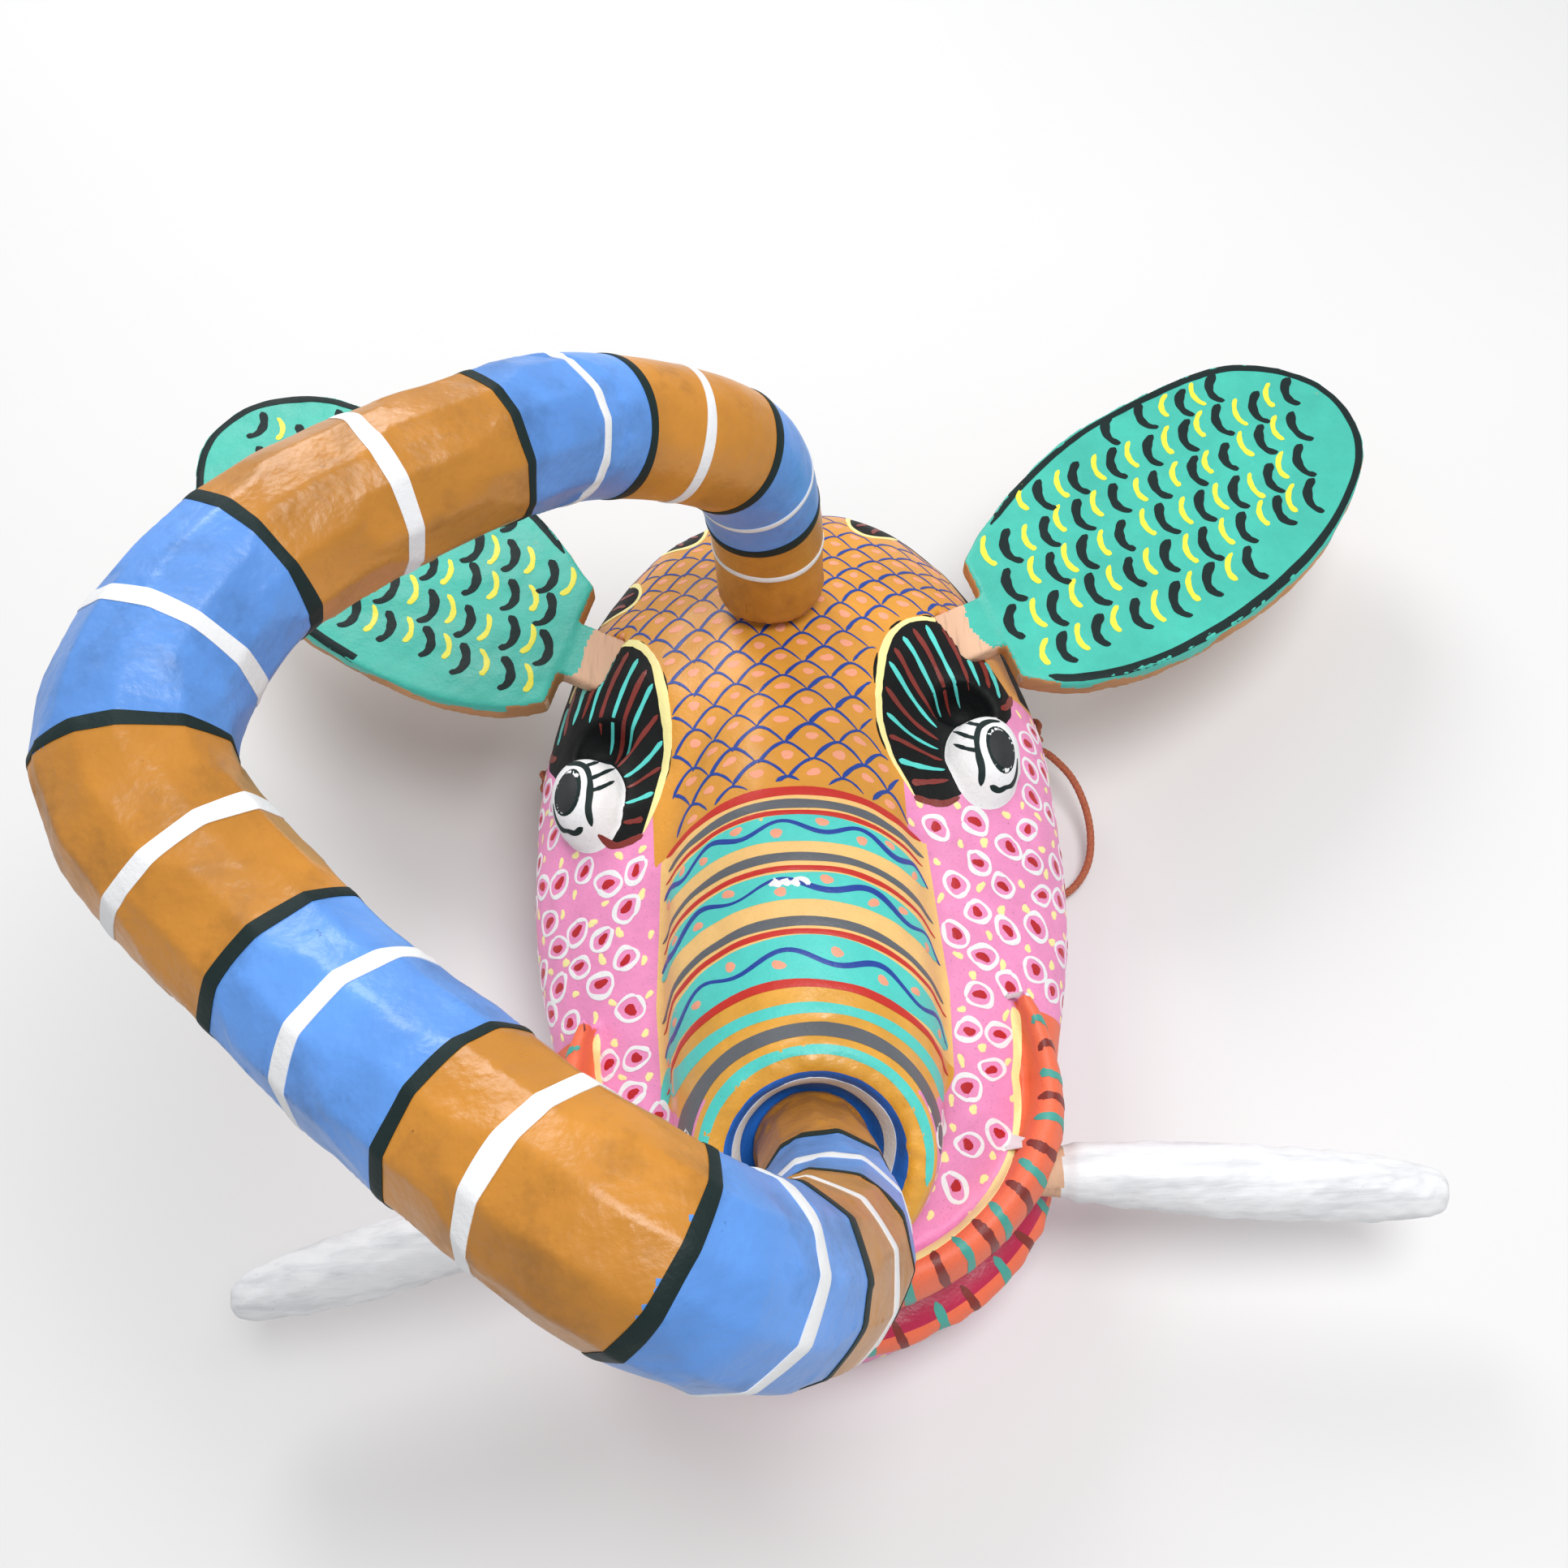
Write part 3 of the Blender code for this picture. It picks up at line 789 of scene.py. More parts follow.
def snout_spot(along, across):
    """A place on the snout by millimetres towards the crown and millimetres round from its ridge."""
    turn = across / SNOUT_TURN
    out = Vector((math.sin(turn), 0, math.cos(turn)))
    return head_cast(place(0, along, 62) + out * 0.12, -out)


def plan_spot(x, y):
    """A place on the head straight above a point of its plan."""
    return head_cast(place(x, y, 180), Vector((0, 0, -1)))


def socket_spot(x, y):
    """A place round the socket, by millimetres across and up in the plane of its rim."""
    start = ORIGIN + (SOCKET + SOCKET_ACROSS * x + SOCKET_UP * y + SOCKET_AXIS * 30) * MM
    return head_cast(start, -SOCKET_AXIS)


def socket_wall_spot(along, radius):
    """A place on the socket's sloping wall, by millimetres round it and its distance from the axis."""
    turn = along / SOCKET_WALL
    out = SOCKET_ACROSS * math.cos(turn) + SOCKET_UP * math.sin(turn)
    return head_cast(ORIGIN + (SOCKET + out * radius + SOCKET_AXIS * 5) * MM, -SOCKET_AXIS)


def lip_spot(height, rise, oval, thickness, tall):
    """A lip's surface, by millimetres round the mouth from its middle and millimetres over the lip."""
    half_wide, half_long = oval

    def spot(along, over):
        turn = math.radians(90) - along / LIP_TURN
        out = Vector((math.cos(turn) / half_wide, -math.sin(turn) / half_long, 0)).normalized()
        lift = rise * max(0.0, (abs(along) / LIP_TURN - 1.304) / 0.651) ** 1.5
        centre = Vector((half_wide * math.cos(turn), MOUTH_Y - half_long * math.sin(turn), height + lift))
        b = over / tall
        about = centre + out * thickness * math.cos(b) + Vector((0, 0, tall * math.sin(b)))
        return HEAD_TREE.find_nearest(ORIGIN + about * MM)[:2]
    return spot


def eye_spot(hand):
    """The eyeball's face, by millimetres sideways, outwards on either eye, and up."""
    out = Vector((SIDE[hand] * 0.10, -0.46, 0.88)).normalized()
    across = Vector((1, 0, 0)) - out * out.x
    across.normalize()
    up = out.cross(across)

    def spot(u, v):
        start = EYES[hand] + across * u * SIDE[hand] + up * v + out * 60
        return head_cast(ORIGIN + start * MM, -out)
    return spot


def crown_spot(turn, rise):
    """A place on the crown by compass angle and height angle, both in millimetres on the crown's ball."""
    a, e = turn / CROWN_BALL, rise / CROWN_BALL
    out = Vector((math.sin(a) * math.cos(e), math.cos(a) * math.cos(e), math.sin(e)))
    return head_cast(place(*CROWN_MIDDLE) + out * 0.2, -out)


def make_head():
    """The block: smooth where it is round, a little uneven all over, rougher at the socket and lower lip."""
    made = fine_copy("mask_head", "head_block", 1.6 * MM)
    smooth(made, 2)
    smooth(made, 26, sharpness(made, 12, 26, 2))
    points, normals = get_points(made), get_normals(made)
    local = (points - np.array(ORIGIN)) / MM
    push = 0.35 * MM * Waves(3, 0.045).at(points) + 0.12 * MM * Waves(4, 0.012).at(points)
    radius, height = from_socket(local)
    rim = np.clip(1 - np.abs(radius - 28.5) / 5.5, 0, 1) * (height > -3)
    push += rim * (0.55 * MM * Waves(5, 0.009).at(points) + 0.30 * MM * Waves(6, 0.004).at(points))
    lower = np.clip(1 - np.abs(local[:, 2] - 33) / 7, 0, 1) * (local[:, 1] < -95)
    push += lower * 0.45 * MM * Waves(7, 0.010).at(points)
    push *= local[:, 2] > 1.0
    set_points(made, points + normals * push[:, None])
    surfaces = {
        "pink": paint("pink", 0.50, 0.15, 0.65),
        "amber": paint("amber", 0.42, 0.12, 0.25, coat=0.15),
        "light_amber": paint("light_amber", 0.46, 0.10, 0.30),
        "gold": paint("gold", 0.34, 0.20, 0.35, coat=0.35),
        "coral": paint("coral", 0.50, 0.10, 0.45),
        "crimson": paint("crimson", 0.30, 0.12, 0.15, coat=0.3),
        "black": paint("black", 0.60, 0.3),
        "white": paint("white", 0.55, 0.07, 0.4),
        "socket_blue": paint("socket_blue", 0.40, 0.25, 0.3),
        "bare": wood("carved_inside", PALE_WOOD),
    }
    cut_along(made, [field for _, field in HEAD_FIELDS])
    paint_faces(made, head_regions, surfaces)
    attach(made, "head")
    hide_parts("mask_head")
    return made


def head_marks(name, lift=0.20):
    return Marks(f"head_{name}", "head", "head_paint", lift)


def kept_on(path, spot, *colours):
    """The longest run of a path's points that lie on these paints."""
    best, run = [], []
    for point in path:
        where, _ = spot(*point)
        if where is not None and paint_at(where) in colours:
            run.append(point)
            best = run if len(run) > len(best) else best
        else:
            run = []
    return best


def paint_forehead():
    """Rows of royal blue scale arches with a salmon dab in each, between the patches and over the crown."""
    blue, salmon = head_marks("scale_lines"), head_marks("scale_dabs", 0.12)
    patches = [patch_outline(hand) for hand in SIDE]
    wide, tall = 15.2, 7.7

    def free(points):
        for along, across in points:
            where = dome_spot(along, across)[0]
            if where is None:
                return False
            x, y, z = (where - ORIGIN) / MM
            turn, rise = crown_angles(x, y, z)
            if y < brow_line(x) + 1.5 or (y < 20 and abs(x) > 38) or (y < 34 and abs(x) > 62):
                return False
            if rise < CROWN_EDGE + 1.5 + CROWN_RISE * lobe(turn) and y > 26:
                return False
            px, py = np.array([x]), np.array([y])
            if any(inside_outline(px, py, p)[0] > -1.8 for p in patches):
                return False
        return True

    for row in range(23):
        along = BROW - 3.5 + row * tall * 0.96
        for column in range(-8, 9):
            middle = (column + 0.5 * (row % 2)) * wide * (1.0 + 0.004 * row) + jitter(0.6)
            top = along + tall * 0.95 + jitter(0.5)
            half = wide / 2 + jitter(0.3)
            lean = middle * -0.035
            path = []
            for k in range(15):
                u = -1 + 2 * k / 14
                rise = top - tall * abs(u) ** 1.7 + lean * u * 0.5
                path.append((rise + jitter(0.08), middle + half * u))
            usable = [p for p in path if free([p])]
            if len(usable) < 6:
                continue
            thick = DRAW.uniform(0.85, 1.3)
            blue.stroke(usable, tapered(1.35 * thick, 0.60 * thick), dome_spot, 0.12, 0.2)
            dab = (along + tall * 0.30 + jitter(0.5), middle + jitter(0.7))
            if free([dab, (dab[0], dab[1] + 2), (dab[0], dab[1] - 2)]):
                salmon.dot(dab, (1.6 + jitter(0.2), 2.15 + jitter(0.3)), dome_spot, jitter(0.4))
    blue.finish(paint("royal_blue", 0.40, 0.12))
    salmon.finish(paint("salmon", 0.5, 0.10, 0.3))


def grown(outline, by):
    """The outline pushed outwards from its own middle by a few millimetres."""
    middle = sum(outline, Vector((0, 0))) / len(outline)
    return [p + (p - middle).normalized() * by for p in outline]


def paint_patches():
    """Each eye's black patch: cyan and dark red rays, a thick pale yellow edge with short black strokes
    outside it (chips of paint, and partly painted shade of the carved step there), and red lines below.
    """
    rays = {"cyan": head_marks("rays_cyan"), "dark_red": head_marks("rays_red")}
    yellow, black_chips_and_shade = head_marks("patch_edges", 0.30), head_marks("patch_chips_with_painted_shade", 0.10)
    inner = ((74.5, 20), (68, 23), (61, 21), (54.5, 15), (51.5, 6), (51, -3), (51.5, -12), (53, -20))
    for hand in SIDE:
        outer = [patch_place(*p, hand) for p in smooth_path(PATCH_EDGE, 6)]
        close = [patch_place(*p, hand) for p in smooth_path(inner, 6)]
        count = 14
        for k in range(count):
            share = (k + 0.55) / count
            far = outer[int(share * (len(outer) - 1))]
            near = close[int(share * (len(close) - 1))]
            start, end = far.lerp(near, 0.12 + jitter(0.02)), far.lerp(near, 0.97 + jitter(0.05))
            colour = "cyan" if k % 2 == 0 else "dark_red"
            wide = DRAW.uniform(1.75, 2.3)
            ray = kept_on(line(start, end, 20, jitter(1.0)), plan_spot, "black")
            rays[colour].stroke(ray, tapered(1.05 * wide, 0.60 * wide), plan_spot, 0.08, 0.2)
        edge = [p + Vector((jitter(0.15), jitter(0.15))) for p in outer[2:]]
        thick = 2.1 if hand == "right" else 2.9
        wide = swelling(thick, 0.55, 0.55, 0.1, 0.9)
        yellow.stroke(edge, wide, plan_spot, 0.05, 0.12, wobble=0.14, across=3)
        # Short black strokes just outside the yellow edge: chips of black paint, and partly painted shade
        # where the patch steps down from the forehead.
        outside = grown(outer, 1.9)
        for first in range(14, len(outside) - 6, 9):
            piece = outside[first:first + DRAW.randint(3, 6)]
            black_chips_and_shade.stroke(piece, DRAW.uniform(0.7, 1.3), plan_spot, 0.3, 0.3)
        under = [patch_place(x, y, hand) for x, y in ((40, -24.5), (45, -25.5), (50, -25.5), (55, -23))]
        rays["dark_red"].stroke(smooth_path(under, 5), 2.2, plan_spot, 0.1, 0.3)
        corner = [patch_place(x, y, hand) for x, y in ((73.5, 15), (76.5, 19), (78.5, 25))]
        rays["dark_red"].stroke(smooth_path(corner, 5), 2.0, plan_spot, 0.2, 0.3)
    for colour, marks in rays.items():
        marks.finish(paint(colour, 0.45, 0.10))
    yellow.finish(paint("pale_yellow", 0.5, 0.08, 0.2))
    black_chips_and_shade.finish(used_paint("black"))


def paint_eyes():
    """On each white eyeball: the almond's two lines, an oval pupil and three lashes."""
    black, pupil = head_marks("eye_lines", 0.16), head_marks("eye_pupils", 0.30)
    almond = ((6.5, 13.2), (2.5, 13.4), (-1.2, 11.6), (-3.2, 7.5), (-3.5, 2.5), (-3.0, -2.5), (-3.6, -8.0))
    below = ((-0.6, -8.2), (2.4, -9.8), (5.0, -9.0), (7.6, -8.2), (9.4, -5.0), (10.2, 0.4))
    lashes = (((-3.6, 3.6), (-10.0, 6.6)), ((-3.0, 7.6), (-8.6, 11.2)), ((-0.8, 12.2), (-5.2, 15.0)))
    for hand in SIDE:
        spot = eye_spot(hand)
        black.stroke(smooth_path(almond, 5), tapered(1.3, 2.4), spot, 0.12, 0.1)
        black.stroke(smooth_path(below, 5), tapered(2.0, 1.1), spot, 0.1, 0.3)
        for start, end in lashes:
            black.stroke(line(start, end, 9, 0.5), 1.35, spot, 0.1, 0.3)
        black.dot((4.4, 3.6), (4.9, 7.9), spot, math.radians(10), 24, 0.03)
        pupil.dot((4.7, 3.6), (3.9, 6.8), spot, math.radians(10), 20, 0.04)
    black.finish(paint("ear_black", 0.55, 0.2))
    pupil.finish(paint("pupil", 0.5, 0.35, streak=(1, 0.2, 1)))


SNOUT_RADIUS = 44           # how round the bands are where they sag
BANDS = (   # middle, width and colour of each band across the snout, from the brow to the chin
    (-31.9, 3.1, "scarlet"), (-36.6, 3.2, "grey"), (-39.8, 1.7, "scarlet"), (-45.3, 9.2, "turquoise"),
    (-55.2, 2.7, "grey"), (-59.0, 1.7, "scarlet"), (-65.0, 9.2, "turquoise"), (-76.6, 2.8, "grey"),
    (-79.9, 1.8, "scarlet"), (-88.2, 14.0, "turquoise"), (-95.9, 2.6, "scarlet"),
)


def bow(apex, left, right, count=45):
    """A line across the snout that sags towards the chin at both ends."""
    sag, points = 9.5 + (BROW - apex) * 0.115, []
    for k in range(count):
        turn = math.radians(-left + (left + right) * k / (count - 1))
        point = apex - sag * (SNOUT_RADIUS * math.sin(turn) / SNOUT_HALF) ** 2, SNOUT_TURN * turn
        where, _ = snout_spot(*point)
        if where is not None and abs(where.x - ORIGIN.x) < (snout_half_width(point[0]) - 1.6) * MM:
            points.append(point)
    return points


def paint_wave(apex, width, left, right, wave, dabs):
    """A blue wave along a turquoise band, and salmon dabs between its crests."""
    wavy, crests = bow(apex + 0.6, left - 2, right - 1, 101), 9.0
    phase, swing = DRAW.uniform(0, 1.5), min(width, 10)
    path = []
    for k, (along, across) in enumerate(wavy):
        share = k / (len(wavy) - 1)
        path.append((along + swing * 0.21 * math.sin(math.pi * crests * share + phase), across))
    wave.stroke(path, lambda s: 1.55 + 0.45 * math.sin(11 * s), snout_spot, 0.04, 0.04, wobble=0.22)
    for k in range(10):
        share = (k + 0.5 - phase / math.pi) / crests
        if 0.03 < share < 0.97:
            along, across = wavy[int(share * (len(wavy) - 1))]
            reach = swing * (0.17 if k % 2 else -0.24)
            dabs.dot((along + reach, across + jitter(1.0)), (1.45, 1.75), snout_spot, jitter(0.5))


def paint_snout():
    """Bands over the snout, with a wave on each turquoise one, and a white smudge."""
    lifts = {"scarlet": 0.24, "grey": 0.22, "turquoise": 0.13}
    marks = {name: head_marks(f"snout_{name}", lift) for name, lift in lifts.items()}
    wave, dabs = head_marks("snout_waves", 0.26), head_marks("snout_dabs", 0.24)
    smudge = head_marks("snout_smudge", 0.30)
    for apex, width, colour in BANDS:
        left, right = 74 + jitter(3), 74 + jitter(3)
        path = bow(apex, left, right)
        if colour == "turquoise":
            wide = swelling(width, 0.62, 0.38)
            marks[colour].stroke(path, wide, snout_spot, 0.10, 0.10, wobble=0.03, across=5)
            paint_wave(apex, width, left, right, wave, dabs)
        else:
            wide = swelling(width, 0.50, 0.55)
            marks[colour].stroke(path, wide, snout_spot, 0.03, 0.05, wobble=0.09, across=4)
    for k in range(4):
        smudge.dot((-63.6 + jitter(0.9), -4 + 2.4 * k), (1.3, 1.9), snout_spot, jitter(1), ragged=0.3)
    paint_rings(marks)
    for colour, made in marks.items():
        made.finish(paint(colour, 0.44, 0.10, 0.3))
    wave.finish(used_paint("royal_blue"))
    dabs.finish(used_paint("salmon"))
    smudge.finish(used_paint("white"))


def paint_rings(marks):
    """Rings concentric with the trunk's socket, and a white one inside it."""
    for radius, width, colour, first, last in ((42, 2.6, "turquoise", 8, 172), (37, 2.8, "grey", -6, 186),
                                               (32.4, 2.7, "turquoise", -18, 198)):
        marks[colour].stroke(arc((0, 0), radius, radius, first, last, 61), width, socket_spot, 0.04, 0.04,
                             wobble=0.07, across=3)
    inside = head_marks("socket_ring", 0.3)
    ring = []
    for k in range(90):
        ring.append((SOCKET_WALL * 2 * math.pi * k / 90, 22.3 + 0.3 * math.sin(2 * math.pi * k / 18)))
    inside.stroke(ring, 2.7, socket_wall_spot, closed=True, wobble=0.12, across=4)
    inside.finish(paint("tusk_white", 0.5, 0.05))


def local_spot(middle, normal):
    """The head's surface near one point: two directions in its tangent plane, in millimetres."""
    across = Vector((0, 0, 1)).cross(normal)
    across = across.normalized() if across.length > 0.1 else Vector((1, 0, 0))
    up = normal.cross(across)

    def spot(u, v):
        return head_cast(middle + (across * u + up * v + normal * 9) * MM, -normal)
    return spot


def paint_at(where):
    """The name of the paint already on the head at a place."""
    found = HEAD_TREE.find_nearest(where)
    return HEAD_PAINTS[HEAD_PICKED[found[2]]]


def clear_of(spot, radius, colour, faced, sides=10):
    """Whether a disc round a spot's middle lies all on one paint and bends little."""
    for k in range(sides):
        a = 2 * math.pi * k / sides
        where, normal = spot(radius * math.cos(a), radius * math.sin(a))
        if where is None or paint_at(where) != colour or normal.dot(faced) < 0.62:
            return False
    return True


def scatter(colour, spacing, margin, taken=(), gap=0.0, tries=9000):
    """Spots on one paint, at least spacing apart, margin inside its edge and gap from the taken ones."""
    code = HEAD_PAINTS.index(colour)
    faces = np.flatnonzero(HEAD_PICKED == code)
    chosen = []
    for _ in range(tries):
        face = int(faces[DRAW.randrange(len(faces))])
        middle = Vector(HEAD_MIDDLES[face]) * MM + ORIGIN
        if any((middle - other).length < spacing * MM for other, _ in chosen):
            continue
        if any((middle - other).length < gap * MM for other, _ in taken):
            continue
        normal = Vector(HEAD_NORMALS[face])
        if clear_of(local_spot(middle, normal), margin, colour, normal):
            chosen.append((middle, normal))
    return chosen


def paint_cheeks():
    """Uneven white rings with a dark red dab in each, and pale yellow dabs between them."""
    rings, dabs = head_marks("cheek_rings"), head_marks("cheek_dabs", 0.14)
    crumbs = head_marks("cheek_crumbs", 0.12)
    places = scatter("pink", 10.5, 4.9, tries=14000)
    for middle, normal in places:
        spot = local_spot(middle, normal)
        size, lean = DRAW.uniform(0.9, 1.12), jitter(0.5)
        start = DRAW.uniform(0, 360)
        path = []
        for k, (u, v) in enumerate(arc((0, 0), 3.5 * size, 4.8 * size, start, start + 372, 30, lean)):
            path.append((u + 0.35 * math.sin(0.5 * k + start), v + 0.35 * math.cos(0.7 * k + start)))
        path = kept_on(path, spot, "pink")
        rings.stroke(path, DRAW.uniform(1.1, 1.5), spot, 0.06, 0.10, wobble=0.25)
        dabs.dot((jitter(0.5), jitter(0.5)), (1.55 * size, 2.2 * size), spot, lean + jitter(0.2), 11, 0.2)
    for middle, normal in scatter("pink", 7.5, 1.8, places, 6.6, 7000):
        crumbs.dot((0, 0), (DRAW.uniform(1.0, 1.5), DRAW.uniform(1.2, 2.0)), local_spot(middle, normal),
                   jitter(1.5), 9, 0.22)
    rings.finish(used_paint("white"))
    dabs.finish(paint("red", 0.42, 0.2))
    crumbs.finish(used_paint("pale_yellow"))


def paint_lips():
    """Dark red and teal strokes across both lips, and the pale yellow line inside the upper one."""
    marks = {"dark_red": head_marks("lip_reds"), "teal": head_marks("lip_teals")}
    upper, lower = lip_spot(60, 13, UPPER_LIP, 6.5, 12.5), lip_spot(33, 0, LOWER_LIP, 7, 7.5)
    for k in range(-17, 18):
        along = k * 8.1 + jitter(1.0)
        colour = "dark_red" if k % 2 == 0 else "teal"
        path = kept_on(line((along + jitter(2), -9), (along, 29), 31, jitter(1.5)), upper, "coral")
        if len(path) > 6:
            marks[colour].stroke(path, DRAW.uniform(2.3, 3.1), upper, 0.12, 0.15)
    for k in range(-9, 10):
        along = k * 10.5 + jitter(1.2)
        colour = "dark_red" if k % 2 == 0 else "teal"
        path = line((along, -4), (along + jitter(2), 13), 9)
        marks[colour].stroke(path, DRAW.uniform(2.2, 2.9), lower, 0.15, 0.2)
    marks["dark_red"].finish(used_paint("dark_red"))
    marks["teal"].finish(paint("teal", 0.45, 0.1))
    yellow = head_marks("lip_line", 0.26)
    for hand in SIDE:
        path = []
        for k in range(70):
            turn = -0.36 + 1.86 * k / 69
            wide, long = (half * (lip_edge(turn) - 0.012) for half in UPPER_LIP)
            path.append((SIDE[hand] * wide * math.cos(turn), MOUTH_Y - long * math.sin(turn)))
        yellow.stroke(path, 2.5, plan_spot, 0.04, 0.04, wobble=0.15, across=3)
    yellow.finish(used_paint("pale_yellow"))


def paint_crown():
    """Pale yellow outlines round the black scallops, and a dark red mark inside each."""
    yellow, marks = head_marks("crown_outlines", 0.3), head_marks("crown_marks")
    scale = math.radians(1) * CROWN_BALL
    for k in range(-3, 4):
        middle = LOBE_TURN + k * LOBE_PERIOD
        if not LOBE_FIRST < middle < LOBE_LAST:
            continue
        path = []
        for j in range(21):
            a = math.pi * j / 20
            turn, rise = middle - LOBE_HALF * math.cos(a), CROWN_EDGE + CROWN_RISE * math.sin(a)
            path.append((turn * scale, rise * scale))
        yellow.stroke(path, 2.3, crown_spot, 0.08, 0.08, wobble=0.15)
        for way in (-1, 1):
            across = (middle + way * 2.2) * scale
            path = line((across, 22 * scale), (across + way, 30 * scale), 7, way * 0.8)
            marks.stroke(path, 2.2, crown_spot)
    yellow.finish(used_paint("pale_yellow"))
    marks.finish(used_paint("dark_red"))


HEAD = make_head()
HEAD_TREE = tree_of(HEAD)
HEAD_MIDDLES, HEAD_NORMALS = face_middles(HEAD)
HEAD_PICKED = face_slots(HEAD)
HEAD_PAINTS = [slot.name.removeprefix("paint_") for slot in HEAD.data.materials]
paint_forehead()
paint_patches()
paint_eyes()
paint_snout()
paint_cheeks()
paint_lips()
paint_crown()


# ---------------------------------------------------------------- trunk

TRUNK_RADIUS = 21
TRUNK_STATIONS = (
    (0.5, -135.4, 89), (4.2, -154, 114), (6, -172, 141), (5, -185, 164), (-5, -200, 208), (-25, -201, 247),
    (-63, -172, 243), (-103, -135, 236), (-140, -88, 246), (-121, -34, 246), (-70, 11, 231), (-43, 39, 206),
    (-10, 54, 176), (-2.4, 61, 141), (-2.4, 59, 101),
)
TRUNK_STEPS = 36
TRUNK_BANDS = (1.35, 3, 4, 5, 6, 7, 8, 9, 10, 11, 12, 13)    # where each colour ends, as a station number


class Spine:
    """The trunk's middle line with a direction across it that never twists."""

    def __init__(self, stations, steps):
        self.points = [place(*p) for p in curve_through(stations, steps)]
        self.lengths, self.across = [0.0], []
        for a, b in zip(self.points, self.points[1:]):
            self.lengths.append(self.lengths[-1] + (b - a).length / MM)
        across = Vector((1, 0, 0))
        for k in range(len(self.points)):
            along = self.along(k)
            across = (across - along * across.dot(along)).normalized()
            self.across.append(across)

    def along(self, k):
        return (self.points[min(k + 1, len(self.points) - 1)] - self.points[max(k - 1, 0)]).normalized()

    def spot(self, around, length):
        """The trunk's surface by millimetres round it and along its middle line."""
        k = min(max(0, int(np.searchsorted(self.lengths, length)) - 1), len(self.points) - 2)
        share = (length - self.lengths[k]) / (self.lengths[k + 1] - self.lengths[k])
        middle = self.points[k].lerp(self.points[k + 1], share)
        along = self.along(k).lerp(self.along(k + 1), share).normalized()
        across = self.across[k].lerp(self.across[k + 1], share).normalized()
        turn = around / TRUNK_RADIUS
        out = across * math.cos(turn) + along.cross(across) * math.sin(turn)
        return TRUNK_TREE.ray_cast(middle, out)[:2]


SPINE = Spine(TRUNK_STATIONS, TRUNK_STEPS)
BAND_ENDS = [SPINE.lengths[round(b * TRUNK_STEPS)] for b in TRUNK_BANDS]
TRUNK_CORE = 0.0133         # metres from the middle line within which the trunk is a cut end


def on_spine(points):
    """For each point in metres: its millimetres along the middle line, metres from it, and angle round it."""
    spine = np.array([list(p) for p in SPINE.points])
    nearest = np.empty(len(points), int)
    for start in range(0, len(points), 4000):
        block = points[start:start + 4000]
        nearest[start:start + 4000] = ((block[:, None, :] - spine[None]) ** 2).sum(2).argmin(1)
    away = points - spine[nearest]
    across = np.array([list(a) for a in SPINE.across])[nearest]
    up = np.array([list(SPINE.along(k).cross(a)) for k, a in enumerate(SPINE.across)])[nearest]
    out = np.stack([(away * across).sum(1), (away * up).sum(1)], 1)
    ahead = np.array([list(SPINE.along(k)) for k in range(len(SPINE.points))])[nearest]
    length = np.array(SPINE.lengths)[nearest] + (away * ahead).sum(1) / MM
    return length, np.hypot(out[:, 0], out[:, 1]), np.arctan2(out[:, 1], out[:, 0])


def trunk_regions(middle, _normal, code):
    """Amber and blue bands by turns, and bare wood on the peg."""
    length, _, _ = on_spine(np.array(ORIGIN) + middle * MM)
    band = np.searchsorted(BAND_ENDS, length)
    picked = np.where(band % 2 == 0, code["trunk_amber"], code["sky_blue"])
    _, height = from_socket(middle)
    picked[(height < -12.4) & (middle[:, 1] < -100)] = code["bare"]
    return picked


def make_trunk():
    """The trunk with long flat knife cuts round it, deeper towards its tip."""
    made = fine_copy("trunk", "trunk_wood", 1.4 * MM)
    smooth(made, 2)
    smooth(made, 24, sharpness(made, 14, 30, 2))
    points, normals = get_points(made), get_normals(made)
    length, radius, turn = on_spine(points)
    facets, reach = 10, 34
    cuts = length / reach + 0.35 * np.sin(turn * 2.0)
    cell = turn / (2 * math.pi) * facets + (np.floor(cuts) * 0.37) % 1
    half = math.pi / facets
    off = (cell - np.round(cell)) * 2 * half
    flat = np.cos(half) / np.cos(off) - 1
    fade = 0.45 + 0.55 * np.sin(np.pi * (cuts % 1)) ** 0.7
    depth = 0.85 + 0.6 * (length > 620)
    height = (points - np.array(ORIGIN)) @ np.array(SOCKET_AXIS) / MM - SOCKET.dot(SOCKET_AXIS)
    free = (height > -8) & (radius > TRUNK_CORE)
    push = (flat * TRUNK_RADIUS * MM * depth * fade + 0.15 * MM * Waves(21, 0.02).at(points)) * free
    set_points(made, points + normals * push[:, None])
    surfaces = {"trunk_amber": trunk_paint("trunk_amber", 0.27), "sky_blue": trunk_paint("sky_blue", 0.30),
                "bare": bare_wood()}
    paint_faces(made, trunk_regions, surfaces)
    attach(made, "trunk")
    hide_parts("trunk")
    return made


def paint_trunk():
    """A black ring where two colours meet, and a white one about the middle of each band beyond it."""
    black = Marks("trunk_black_rings", "trunk", "trunk_paint", 0.30, 0.8)
    white = Marks("trunk_white_rings", "trunk", "trunk_paint", 0.34, 0.8)
    for k, (first, last) in enumerate(zip(BAND_ENDS, [*BAND_ENDS[1:], SPINE.lengths[-1]])):
        path = trunk_ring(first, 0.5)
        width = even_width(path, DRAW.uniform(2.8, 3.8))
        black.stroke(path, width, SPINE.spot, closed=True, wobble=0.16, across=4)
        path = trunk_ring(first + (last - first) * (0.52 if k < 11 else 0.42), 0.7)
        width = even_width(path, 4.6 if k < 8 else (3.2 if k < 10 else 1.9))
        white.stroke(path, width, SPINE.spot, closed=True, wobble=0.10, across=5)
    black.finish(used_paint("ear_black"))
    white.finish(used_paint("tusk_white"))


